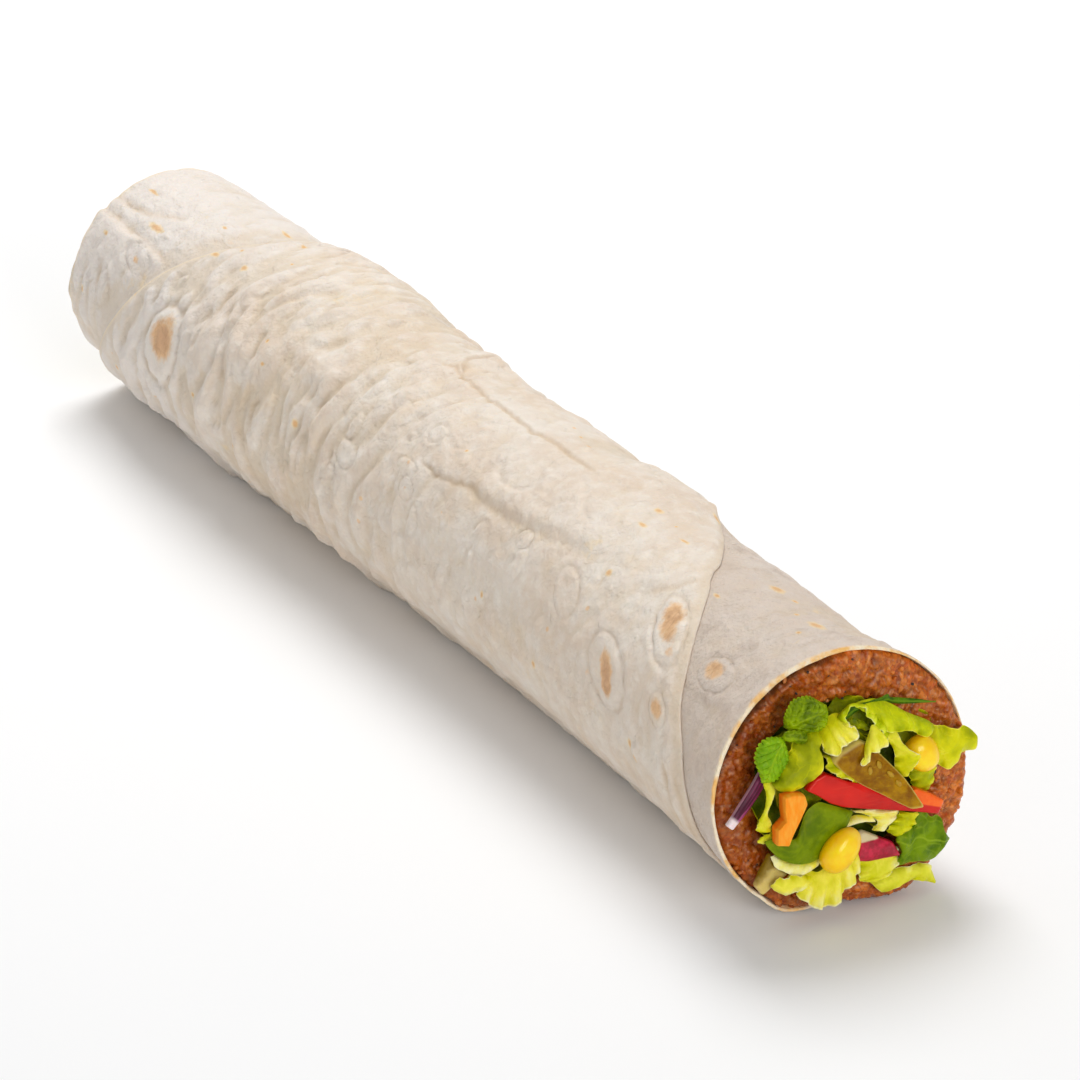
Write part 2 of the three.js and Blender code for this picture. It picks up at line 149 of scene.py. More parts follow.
def grid_faces(rows, columns, start=0, closed=False, looped=False):
    """Quads over a grid of points given row by row. A closed grid joins its last column to its first, and a
    looped one its last row to its first."""
    i, j = np.meshgrid(np.arange(rows if looped else rows - 1), np.arange(columns if closed else columns - 1),
                       indexing="ij")
    row, below = i * columns, (i + 1) % rows * columns
    k = (j + 1) % columns
    quads = np.stack([row + j, row + k, below + k, below + j], -1)
    return (quads.reshape(-1, 4) + start).tolist()


def curve_through(points, t):
    """Points at t, 0 to 1, on a smooth curve through the given ones, with its directions."""
    points = np.asarray(points, float)
    if len(points) == 2:
        points = np.stack([points[0], points.mean(0), points[1]])
    padded = np.concatenate([[2 * points[0] - points[1]], points, [2 * points[-1] - points[-2]]])
    place = np.clip(np.asarray(t, float), 0, 1) * (len(points) - 1)
    i = np.minimum(place.astype(int), len(points) - 2)
    f = (place - i)[:, None]
    a, b, c, d = (padded[i + k] for k in range(4))
    second, third = 2 * a - 5 * b + 4 * c - d, 3 * b - a - 3 * c + d
    where = 0.5 * (2 * b + (c - a) * f + second * f ** 2 + third * f ** 3)
    return where, unit((c - a) + 2 * second * f + 3 * third * f ** 2)


# ---------------------------------------------------------------- materials

class Finish:
    """A procedural material, with short calls for the nodes that it is made of."""

    def __init__(self, name, **settings):
        self.material = bpy.data.materials.new(name)
        self.material.use_nodes = True
        self.tree = self.material.node_tree
        self.shader = self.tree.nodes["Principled BSDF"]
        for socket, value in settings.items():
            self.shader.inputs[socket.replace("_", " ")].default_value = value
        place = self.node("ShaderNodeTexCoord", "Object")
        self.place = self.node("ShaderNodeVectorMath", 0, (place, (1 / MM,) * 3), operation="MULTIPLY")

    def node(self, kind, output=0, inputs=(), **properties):
        node = self.tree.nodes.new(kind)
        for key, value in properties.items():
            setattr(node, key, value)
        pairs = inputs.items() if isinstance(inputs, dict) else enumerate(inputs)
        for key, value in pairs:
            self.join(node.inputs[key], value)
        return node.outputs[output]

    def join(self, socket, value):
        if isinstance(value, bpy.types.NodeSocket):
            self.tree.links.new(value, socket)
        elif value is not None:
            socket.default_value = value

    def value(self, name, vector=False):
        return self.node("ShaderNodeAttribute", "Vector" if vector else "Fac", attribute_name=name)

    def calc(self, operation, a, b=None):
        return self.node("ShaderNodeMath", 0, (a, b), operation=operation)

    def times(self, a, b):
        return self.calc("MULTIPLY", a, b)

    def plus(self, a, b):
        return self.calc("ADD", a, b)

    def minus(self, a, b):
        return self.calc("SUBTRACT", a, b)

    def stretch(self, vector, scale):
        return self.node("ShaderNodeVectorMath", 0, (vector, scale), operation="MULTIPLY")

    def shifted(self, vector, offset):
        return self.node("ShaderNodeVectorMath", 0, (vector, offset), operation="ADD")

    def noise(self, scale, detail=2.0, rough=0.5, vector=None, twist=0.0):
        return self.node("ShaderNodeTexNoise", "Fac", {"Vector": vector or self.place, "Scale": scale,
                                                       "Detail": detail, "Roughness": rough,
                                                       "Distortion": twist})

    def cells(self, scale, output="Distance", feature="F1", vector=None):
        return self.node("ShaderNodeTexVoronoi", output, {"Vector": vector or self.place, "Scale": scale},
                         feature=feature)

    def split(self, vector, output):
        return self.node("ShaderNodeSeparateXYZ", output, (vector,))

    def band(self, value, low, high):
        """0 below low, 1 above high and smooth between; high may be the lower one."""
        return self.node("ShaderNodeMapRange", 0, {"Value": value, "From Min": low, "From Max": high},
                         interpolation_type="SMOOTHSTEP")

    def range(self, value, low, high):
        """A 0 to 1 value spread over low to high."""
        return self.node("ShaderNodeMapRange", 0, {"Value": value, "To Min": low, "To Max": high})

    def mix(self, amount, first, second, kind="MIX"):
        node = self.tree.nodes.new("ShaderNodeMix")
        node.data_type = "RGBA"
        node.blend_type = kind
        for socket, value in ((0, amount), (6, first), (7, second)):
            self.join(node.inputs[socket], value)
        return node.outputs[2]

    def over(self, base, place, share, *tint):
        """The base with a screen colour laid over it, by as much as share where place is 1."""
        return self.mix(self.times(place, share), base, colour(*tint))

    def between(self, place, first, second):
        """From one screen colour to another as place goes from 0 to 1."""
        return self.mix(place, colour(*first), colour(*second))

    def done(self, base, roughness, *bumps):
        """Joins up the colour, the roughness and the bumps, each a height and its depth in millimetres."""
        self.join(self.shader.inputs["Base Color"], base)
        self.join(self.shader.inputs["Roughness"], roughness)
        normal = None
        for height, depth in bumps:
            normal = self.node("ShaderNodeBump", 0, {"Strength": 1.0, "Distance": depth * MM,
                                                     "Height": height, "Normal": normal})
        if normal:
            self.join(self.shader.inputs["Normal"], normal)
        return self.material


# ---------------------------------------------------------------- camera, light and floor

# The camera's direction from its target, round from -Y toward +X and up. Lengths are in mm.
CAMERA_AZIMUTH = math.radians(58.168)
CAMERA_ELEVATION = math.radians(28.658)
CAMERA_TARGET = (28.463, 0, 30.064)
CAMERA_DISTANCE = 1588.47
CAMERA_LENS = 253.0
SENSOR_WIDTH = 36.0
# Each light's place in metres from the origin, its size in metres and its power in watts.
LIGHTS = {"key": ((-0.5, 0.22, 1.0), 0.6, 8.8), "side": ((0.4, -1.0, 0.6), 0.9, 0.55),
          "front": ((1.25, -0.1, 0.5), 0.6, 5.9)}
SKY_STRENGTH = 0.4
# Half of the floor's side in metres, and how far under the roll it lies in mm.
FLOOR_HALF = 6.0
FLOOR_DROP = 0.02


def add_camera():
    level = math.cos(CAMERA_ELEVATION)
    back = Vector((math.sin(CAMERA_AZIMUTH) * level, -math.cos(CAMERA_AZIMUTH) * level,
                   math.sin(CAMERA_ELEVATION)))
    data = bpy.data.cameras.new("camera")
    data.lens = CAMERA_LENS
    data.sensor_width = SENSOR_WIDTH
    camera = bpy.data.objects.new("camera", data)
    camera.location = Vector(CAMERA_TARGET) * MM + back * (CAMERA_DISTANCE * MM)
    camera.rotation_euler = back.to_track_quat("Z", "Y").to_euler()
    bpy.context.scene.collection.objects.link(camera)
    bpy.context.scene.camera = camera


def add_light(name, place, size, power):
    data = bpy.data.lights.new(name, "AREA")
    data.size = size
    data.energy = power
    light = bpy.data.objects.new(name, data)
    light.location = place
    light.rotation_euler = Vector(place).to_track_quat("Z", "Y").to_euler()
    bpy.context.scene.collection.objects.link(light)


def add_studio():
    for name, (place, size, power) in LIGHTS.items():
        add_light(name, place, size, power)
    world = bpy.data.worlds.new("world")
    world.use_nodes = True
    background = world.node_tree.nodes["Background"]
    background.inputs["Color"].default_value = (1, 1, 1, 1)
    background.inputs["Strength"].default_value = SKY_STRENGTH
    bpy.context.scene.world = world
    bpy.context.scene.view_settings.view_transform = "Standard"
    finish = Finish("floor")
    tone = finish.between(finish.noise(0.004, 2), (246, 246, 246), (250, 250, 250))
    material = finish.done(tone, 0.9)
    mesh = bpy.data.meshes.new("floor")
    corners = [(x * FLOOR_HALF, y * FLOOR_HALF, 0) for x, y in ((-1, -1), (1, -1), (1, 1), (-1, 1))]
    mesh.from_pydata(corners, [], [(0, 1, 2, 3)])
    mesh.materials.append(material)
    floor = bpy.data.objects.new("floor", mesh)
    floor.location.z = -FLOOR_DROP * MM
    bpy.context.scene.collection.objects.link(floor)


# ---------------------------------------------------------------- the roll's own frame, as in the CAD, in mm

# An angle on a section is in degrees from +Y toward +Z. A winding grows as the angle falls, and adds up over
# the turns: it is WIND_END less the angle.
BREAD = 1.1
PITCH = 1.4
FAR_X = -131.0
FAR_HEIGHT = 26.1
MOUTH_X = 140.4
MOUTH_HEIGHT = 27.8
ROLL_RADIUS = 26.0
RIM_RADIUS = 28.0
CREST_ANGLE = 44.5
DOWN = 270
# Degrees from straight down: how far the floor shapes the roll, and where its flat strip turns round.
UNDERSIDE = 75
STRIP_EDGE = (10, 42)
# The winding where the flap comes free, how long before it the ends turn into its edges, and its tip.
FLAP_START = 405.5
FLAP_BLEND = 75.0
WIND_END = 630.0
OUTER_TURN = WIND_END - 360
# The flap's edges, in mm along the roll and mm wound on from FLAP_START. Both curve round to the tip.
NEAR_EDGE_X = 130.0
NEAR_EDGE_SWEEP = 155.0
FLAP_LENGTH = 100.0
FAR_EDGE_X = -126.8
FAR_EDGE_SLOPE = 0.73
FAR_EDGE_STRAIGHT = 62.0
FAR_EDGE_SWEEP = 56.0
# From TIP_FROM to TIP_WOUND the sheet's rows are drawn together, so that the tip ends at TIP_END.
TIP_FROM = 85.0
TIP_WOUND = 101.87
TIP_END = 99.95
# Windings over which the flap's edges come free of the turn under them, and over which the relief, the
# colours and the thin rim change from that turn to the flap.
COMING_LOOSE = (385, 430)
RELIEF_CHANGE = (281, 335)
COLOUR_CHANGE = (281, 400)
THIN_RIM_END = (385, 340)
MOUTH_LEAN = math.radians(7.4)
MOUTH_FACING = math.radians(134.5)
CREST = ((-140, 24.4), (-95, 25.7), (-57, 28.3), (-15, 25.8), (25, 27.0), (55, 28.9), (80, 27.3), (115, 27.3),
         (142, 29.4))
LOW = ((-140, 24.8), (-118, 26.5), (-60, 26.2), (0, 25.1), (45, 24.5), (95, 25.7), (120, 27.0), (142, 29.6))


def along(knots, x):
    """A value that eases from knot to knot."""
    x = np.asarray(x, float)
    places, values = np.array(knots, float).T
    i = np.clip(np.searchsorted(places, x) - 1, 0, len(places) - 2)
    return lerp(values[i], values[i + 1], smooth(x, places[i], places[i + 1]))


def axis_height(x):
    return lerp(FAR_HEIGHT, MOUTH_HEIGHT, (x - FAR_X) / (MOUTH_X - FAR_X))


def turn_from(angle, middle):
    """How many degrees an angle is from another, either way round."""
    return np.abs((angle - middle + 180) % 360 - 180)


def on_section(x, angle, radius):
    """Points on the roll's cross-sections, at an angle and a radius from its middle."""
    x, angle, radius = np.broadcast_arrays(x, np.radians(angle), radius)
    return np.stack([x, radius * np.cos(angle), axis_height(x) + radius * np.sin(angle)], -1)


def near_rim(angle):
    """How far along the roll its mouth's leaning rim is at an angle."""
    return MOUTH_X - RIM_RADIUS * math.tan(MOUTH_LEAN) * np.cos(np.radians(angle) - MOUTH_FACING)


def bread_radius(x, wind):
    """The radius of the sheet's outer side, where it has wound on by so many degrees."""
    angle = WIND_END - wind
    down = turn_from(angle, DOWN)
    layer = PITCH * (wind - FLAP_START) / 360
    outermost = PITCH * (OUTER_TURN + (wind - OUTER_TURN) % 360 - FLAP_START) / 360
    crest, low = along(CREST, x), along(LOW, x)
    free = (crest + low) / 2 + (crest - low) / 2 * np.cos(np.radians(angle - CREST_ANGLE))
    resting = axis_height(x) / np.cos(np.radians(np.minimum(down, UNDERSIDE))) - outermost
    settled = np.minimum(lerp(resting, free, smooth(down, *STRIP_EDGE)), resting)
    return np.where(down > UNDERSIDE, free, settled) + layer


def bread_reach(wind):
    """Where the sheet ends at the far and the near side."""
    wound = np.maximum(np.radians(wind - FLAP_START) * ROLL_RADIUS, 0)
    in_tip = TIP_FROM + (wound - TIP_FROM) * (TIP_END - TIP_FROM) / (TIP_WOUND - TIP_FROM)
    wound = np.where(wound > TIP_FROM, np.minimum(in_tip, TIP_END), wound)
    near_edge = NEAR_EDGE_X - NEAR_EDGE_SWEEP * (1 - np.sqrt(1 - (wound / FLAP_LENGTH) ** 2))
    bend = np.clip((wound - FAR_EDGE_STRAIGHT) / (FLAP_LENGTH - FAR_EDGE_STRAIGHT), 0, 1)
    far_edge = FAR_EDGE_X + FAR_EDGE_SLOPE * np.minimum(wound, FAR_EDGE_STRAIGHT)
    far_edge = far_edge + FAR_EDGE_SWEEP * (1 - np.sqrt(1 - bend ** 2))
    near_edge = near_edge + smooth(wind, *COMING_LOOSE) * along(EDGE_SHIFT, WIND_END - wind)
    k = smooth(wind, FLAP_START - FLAP_BLEND, FLAP_START)
    return lerp(FAR_X, far_edge, k), lerp(near_rim(WIND_END - wind), near_edge, k)


OUT = np.array([math.cos(MOUTH_LEAN), math.sin(MOUTH_LEAN) * math.cos(MOUTH_FACING),
                math.sin(MOUTH_LEAN) * math.sin(MOUTH_FACING)])
UP = unit(np.array([0, 0, 1.0]) - OUT[2] * OUT)
SIDE = np.cross(UP, OUT)
MOUTH = np.array([MOUTH_X, 0, axis_height(MOUTH_X)])
MOUTH_AXES = np.stack([SIDE, UP, OUT])


def at_mouth(p):
    """Points given as seen looking into the mouth: right, up and out, in mm from its middle."""
    return MOUTH + np.asarray(p, float) @ MOUTH_AXES


def toward(d):
    """A direction given in the same way."""
    return np.asarray(d, float) @ MOUTH_AXES


# ---------------------------------------------------------------- flatbread

# Places on the sheet are mm along the roll and degrees around it.
# A crease is a groove with a step up on the right-hand side of its line: the groove's depth, its half-width
# where it starts and where it ends, the step's height, how far the step takes to sink back, and the line.
FLAP_CREASES = (
    (0.3, (0.5, 0.5), 0.42, 3.2, ((-18, 89), (-14, 87), (-9, 85.3), (-5, 87), (1, 88), (10, 89.3), (15, 88.8),
        (21, 89.8), (26, 90), (29, 88.3), (34, 88), (41, 89.3), (47, 89.7), (55, 91))),
    (0.35, (0.6, 0.8), 0.7, 2.4, ((-4, 88), (-8, 82), (-12.5, 74), (-15, 62), (-17, 49))),
    (0.15, (0.7, 1.0), 0.8, 3.0, ((-17, 58), (-8, 58), (1, 65), (7, 70))),
    (0.15, (1.5, 1.5), 0.3, 5.0, ((50, 91), (56, 88), (60, 80), (63, 73))),
    (0.3, (0.5, 0.9), 0.35, 6.0, ((10, 133.5), (17, 134.7), (21, 133.6), (24.5, 131.7), (28, 129.5),
        (35, 129.9))),
    (0.4, (1.2, 2.8), 0.85, 9.0, ((26, 131), (35, 130.5), (44, 130), (54, 127), (65, 123.8), (76, 119))),
    (0.0, (1.8, 1.8), 0.4, 4.0, ((26, 97), (27, 101), (29, 112), (30, 121), (29.5, 128))),
    (0.0, (2.2, 2.2), 0.35, 5.0, ((8, 86), (9, 93), (10.6, 104), (9, 114))),
    (0.25, (0.9, 1.6), 0.4, 4.5, ((-66, 173), (-61, 155), (-63, 144), (-64, 130))),
    (0.25, (0.9, 1.4), 0.4, 4.0, ((-53, 185), (-52.7, 168.5), (-50, 153), (-48, 135))),
    (0.25, (0.7, 0.7), 0.3, 3.0, ((-47, 176), (-48, 163), (-46, 155))),
    (0.25, (1.0, 1.3), 0.4, 4.0, ((-37, 147), (-38.3, 133), (-37.3, 119.5), (-35, 107))),
    (0.2, (1.0, 1.4), 0.35, 4.0, ((-76, 160), (-72, 146), (-73, 132), (-75, 118))),
    (0.2, (1.0, 1.2), 0.3, 3.5, ((-26, 150), (-27, 136), (-25, 122))),
    (0.25, (1.0, 0.8), 0.5, 4.0, ((91, 120), (95.7, 108), (98.4, 97))),
    (0.1, (0.5, 0.5), 0.2, 2.0, ((97.5, 136), (101, 139), (105, 140), (111, 140))),
    (0.4, (0.9, 0.9), 0.4, 2.0, ((122, 176), (124.5, 188), (125.5, 200), (125.5, 214), (124.5, 226))),
    (0.3, (0.9, 0.9), 0.4, 2.0, ((118, 172), (120, 186), (120.5, 202), (119, 220))),
)
UNDER_CREASES = (
    (0.1, (0.7, 1.5), 0.4, 3.5, ((114, 140), (120, 141.8), (127.5, 141.4), (135, 139))),
    (0.15, (0.4, 0.4), 0.1, 1.0, ((127, 120), (128.8, 126), (128.6, 132), (127, 138))),
    (0.45, (0.8, 1.2), 1.05, 7.0, ((-98, 134), (-105, 132), (-111, 130.2), (-118, 131.4), (-124.7, 129.7),
        (-138, 130))),
    (0.4, (0.8, 1.1), 0.5, 3.5, ((-106, 107), (-111, 112), (-116.6, 117), (-123, 119.7), (-134, 120.5))),
    (0.2, (1.0, 1.2), 0.5, 3.0, ((-104, 150), (-106, 142), (-110, 146), (-112, 154))),
    (0.1, (1.0, 1.0), 0.5, 2.5, ((-98, 112), (-94, 106), (-92, 98), (-93, 90))),
    (0.1, (0.8, 0.8), 0.25, 2.0, ((-91, 78), (-89, 87), (-90, 93))),
    (0.2, (0.7, 0.7), 0.3, 2.0, ((-121, 150), (-120, 158), (-119.5, 166))),
    (0.2, (0.7, 0.7), 0.3, 2.0, ((-116.5, 153), (-115, 162), (-114.5, 172))),
)
# A blister is its middle, its half-lengths along and around the roll in mm, how far it leans, its height, and
# how clearly its ring shows.
FLAP_BLISTERS = (
    (-87.3, 167, 6.6, 9.2, -0.15, 1.0, 1.3), (93.2, 158.5, 6.8, 6.2, 0.55, 0.5, 1.0),
    (103.8, 127, 5.2, 6.4, 0.7, 0.5, 1.0), (112.9, 157.3, 3.0, 3.0, 0.4, 0.4, 0.6),
    (71.8, 141.3, 4.0, 4.6, 0.4, 0.4, 0.4), (10.9, 148.5, 2.6, 2.2, 0.3, 0.45, 0.4),
    (50.7, 105.3, 5.0, 3.4, 0.0, 0.35, 0), (63.2, 104.1, 5.4, 2.8, 0.0, 0.35, 0),
    (15.7, 110.4, 5.0, 4.4, 0.0, 0.35, 0), (-12.4, 153, 3.6, 3.0, 0.2, 0.7, 0),
    (-15.7, 165.6, 1.7, 2.0, 0.0, 0.6, 0), (-14.6, 174.5, 1.9, 3.3, 0.0, 0.6, 0),
    (7.5, 139.6, 3.6, 1.5, 0.0, 0.5, 0), (16.7, 158.9, 1.9, 3.0, 0.3, 0.4, 0),
    (6.9, 168.1, 2.8, 3.2, 0.3, 0.4, 0), (9.2, 119.5, 2.4, 2.4, 0.0, 0.5, 0),
    (30.0, 109.6, 3.0, 1.8, 0.0, 0.5, 0), (52.5, 133.9, 2.3, 2.2, 0.0, 0.4, 0.4),
    (37.0, 112.0, 6.0, 3.6, 0.0, 0.3, 0), (84.0, 104.0, 5.6, 4.4, 0.0, 0.25, 0),
    (40.0, 146.0, 3.0, 3.6, 0.3, 0.3, 0),
)
UNDER_BLISTERS = (
    (121.9, 130, 5.4, 3.7, 0.0, 0.65, 0.8), (-109.1, 139.8, 4.6, 3.2, 0.3, 0.5, 0.3),
    (-96.2, 98.6, 2.7, 1.9, 0.0, 0.4, 0.3), (-90.8, 103.2, 3.6, 1.3, 0.0, 0.4, 0.2),
    (-117, 112, 6.0, 3.6, 0.0, 0.2, 0), (-123, 158, 1.6, 3.4, 0.0, 0.5, 0),
    (-117.6, 164, 1.7, 4.6, 0.0, 0.5, 0), (-105, 121, 3.4, 1.6, 0.0, 0.4, 0),
    (-101, 112, 2.6, 1.6, 0.0, 0.4, 0),
)
# A lump is its middle, its half-lengths and its height.
FLAP_LUMPS = ((-14, 54, 6.0, 4.4, 1.4), (-5, 60, 4.0, 3.0, 0.8), (-18, 46, 5.0, 4.0, 0.5),
              (-39, 46, 5.0, 8.0, -1.4), (-10.5, 45, 3.6, 5.0, -1.2), (39, 46, 5.5, 9.0, -1.3),
              (68, 48, 5.0, 6.0, 0.8), (12, 122, 9.0, 4.5, 0.5), (88, 70, 9.0, 7.0, 0.4),
              (-96, 176, 6.0, 8.0, 0.4), (-115, 46, 6.0, 6.0, 0.5), (-62, 150, 7.0, 9.0, 0.4),
              (98, 150, 8.0, 6.0, 0.3), (60, 140, 8.0, 7.0, 0.3), (30, 150, 9.0, 7.0, 0.3))
UNDER_LUMPS = ((-118, 142, 5.0, 4.0, 0.5), (-126, 100, 6.0, 8.0, 0.5), (126, 48, 9.0, 8.0, -0.8),
               (73, 48, 3.0, 7.0, -0.6), (-122, 122, 3.0, 2.6, -0.5), (-112, 100, 6.0, 5.0, 0.4),
               (-110, 126, 4.0, 3.0, 0.4))
# A toasted place is its middle, its half-lengths, how far it leans, and how brown it is.
FLAP_TOAST = (
    (-86.8, 163.4, 4.6, 4.6, 0.0, 1.0), (-85.8, 155.5, 2.6, 2.6, 0.0, 0.7),
    (93.4, 157.8, 2.4, 3.6, 0.55, 1.0), (94.8, 163, 1.9, 2.4, 0.5, 1.0), (101.8, 120.8, 3.4, 2.7, 0.4, 0.85),
    (103.6, 127.0, 3.4, 2.5, 0.5, 0.8), (108.2, 134.4, 1.6, 1.4, 0.3, 0.6),
    (112.9, 157.3, 2.4, 1.8, 0.4, 0.8), (87.6, 164.5, 0.9, 1.0, 0.0, 0.55),
    (10.9, 148.5, 0.7, 0.5, 0.0, 0.7),
)
UNDER_TOAST = ((120.9, 128.8, 3.1, 2.2, 0.0, 0.8), (-109.1, 140.4, 1.7, 1.0, 0.0, 0.7),
               (-91.1, 103.0, 2.0, 0.8, 0.0, 0.45))
# A fleck is its middle and its half-lengths in mm.
FLAP_FLECKS = (
    (-32, 156.5, 0.7, 1.1), (-49, 142.5, 0.5, 0.5), (-55.5, 190, 0.6, 0.6), (-46, 46, 1.2, 0.9),
    (-73, 180, 0.6, 0.6), (55, 46, 1.5, 1.2), (70, 84.5, 1.1, 0.8), (72.6, 96, 1.3, 0.6),
    (72.5, 57, 1.4, 0.8), (77, 85, 0.5, 0.4), (83.3, 89.3, 1.6, 0.4), (78.5, 123, 0.9, 0.8),
    (-88.7, 114.6, 1.7, 0.7), (-83.5, 105.5, 0.6, 0.5), (-77, 112.4, 1.2, 0.8), (-76, 81, 0.9, 0.6),
    (-103.4, 154, 0.6, 0.6), (-110.4, 202, 0.6, 0.7), (46, 168, 0.5, 0.8), (67, 182, 0.6, 0.9),
    (105, 182, 0.7, 1.3), (107, 187, 0.5, 0.9), (20, 118, 0.4, 0.4), (31, 72, 0.5, 0.4), (-52, 133, 0.4, 0.5),
    (37, 76, 0.9, 0.3), (-69, 96, 0.5, 0.4),
)
UNDER_FLECKS = (
    (106.8, 74, 2.0, 1.4), (112.5, 72.4, 0.9, 0.6), (118.4, 80.4, 0.6, 0.5), (126.3, 91, 0.6, 0.5),
    (125.4, 80.8, 2.3, 1.1), (-123.7, 139, 1.1, 0.6), (-125.6, 172, 0.6, 0.9), (-123.3, 106.5, 2.0, 0.5),
    (-111.2, 121.5, 2.6, 1.0), (-97, 98.4, 0.9, 0.5), (-88, 74, 2.0, 0.6), (103, 100, 1.0, 0.5),
)
# The mm in a degree around the roll.
DEGREE = math.radians(1) * ROLL_RADIUS
# Columns across the sheet, and those of them that its inner side keeps.
COLUMNS = 400
INNER_COLUMNS = {0, 4, 10, *range(20, COLUMNS, 20), COLUMNS - 16, COLUMNS - 8, COLUMNS - 4, COLUMNS}
# By angle: how far the flap's near edge lies from its smooth line, and how much thickness the rim keeps.
EDGE_SHIFT = ((46, 0.3), (59, -1.2), (83, -1.4), (93, -3.1), (96, -3.4), (99, -2.9), (124, -2.8), (148, -3.1),
              (169, -1.6))
RIM_THICKNESS = ((-90, 0.55), (-30, 0.4), (50, 0.4), (80, 0.8), (100, 1.2), (112, 1.05), (122, 1.25),
                 (140, 0.85), (152, 1.0), (180, 0.65), (225, 0.6), (270, 0.55))


def crease(x, angle, depth, widths, step, reach, line):
    """The height of the sheet by a crease, and how close each point is to its line, from 0 to 1."""
    best = np.full(x.shape, 1e9)
    over, share = np.zeros(x.shape), np.zeros(x.shape)
    points = np.array(line, float) * (1, DEGREE)
    px = x + 0.35 * noise(x / 2.6, angle * DEGREE / 2.6, 9.0)
    py = angle * DEGREE + 0.45 * noise(x / 2.2, angle * DEGREE / 4, 5.0)
    lengths = np.linalg.norm(np.diff(points, axis=0), axis=1)
    starts = np.concatenate([[0], np.cumsum(lengths)])
    for i, (a, b) in enumerate(zip(points[:-1], points[1:])):
        d = (b - a) / lengths[i]
        t = np.clip((px - a[0]) * d[0] + (py - a[1]) * d[1], 0, lengths[i])
        gap = np.hypot(px - a[0] - d[0] * t, py - a[1] - d[1] * t)
        left = d[0] * (py - a[1]) - d[1] * (px - a[0])
        closer = gap < best
        best = np.where(closer, gap, best)
        over = np.where(closer, -np.sign(left) * gap, over)
        share = np.where(closer, (starts[i] + t) / starts[-1], share)
    fade = smooth(share, -0.02, 0.15) * smooth(share, 1.02, 0.8)
    width = lerp(widths[0], widths[1], share)
    wobble = 1 + 0.35 * noise(px / 5, py / 5, 3.0)
    rise = step * smooth(over, -0.5 * width, width) * np.exp(-(np.maximum(over, 0) / reach) ** 1.5)
    near = np.exp(-(over / width) ** 2)
    clear = near * fade * np.minimum(1, 0.7 / width) * min(1, depth / 0.3)
    return (rise - depth * near) * fade * wobble, clear


def oval(x, angle, middle, around, half_x, half_a, lean=0.0):
    """How far out a point is in a leaning oval, 1 at its outline."""
    down = (angle - around) * DEGREE
    return np.hypot((x - middle - lean * down) / half_x, down / half_a)


def bubble(r, height):
    """A low dome with a raised border, in a shallow ring-shaped dent."""
    dome = height * (0.55 * np.clip(1 - r ** 2, 0, 1) ** 0.7 + 0.3 * np.exp(-((r - 0.72) / 0.2) ** 2))
    dent = dome - 0.3 * height * np.exp(-((r - 1.05) / 0.14) ** 2)
    return dent + 0.35 * height * np.exp(-((r - 1.32) / 0.2) ** 2)


def small_bubbles(x, angle, count, spread, seed):
    """Many little oval bubbles, longer around the roll than along it."""
    draw = np.random.default_rng(seed)
    height = np.zeros(x.shape)
    for _ in range(count):
        middle, around = draw.uniform(*spread[0]), draw.uniform(*spread[1])
        size, longer, tall = draw.uniform(0.9, 2.0), draw.uniform(0.9, 2.0), draw.uniform(0.12, 0.38)
        near = (np.abs(x - middle) < size * 2) & (np.abs(angle - around) * DEGREE < size * longer * 2)
        if near.any():
            r = oval(x[near], angle[near], middle, around, size, size * longer)
            height[near] += tall * (np.clip(1 - r ** 2, 0, 1) ** 0.8 - 0.3 * np.exp(-((r - 1.1) / 0.25) ** 2))
    return height


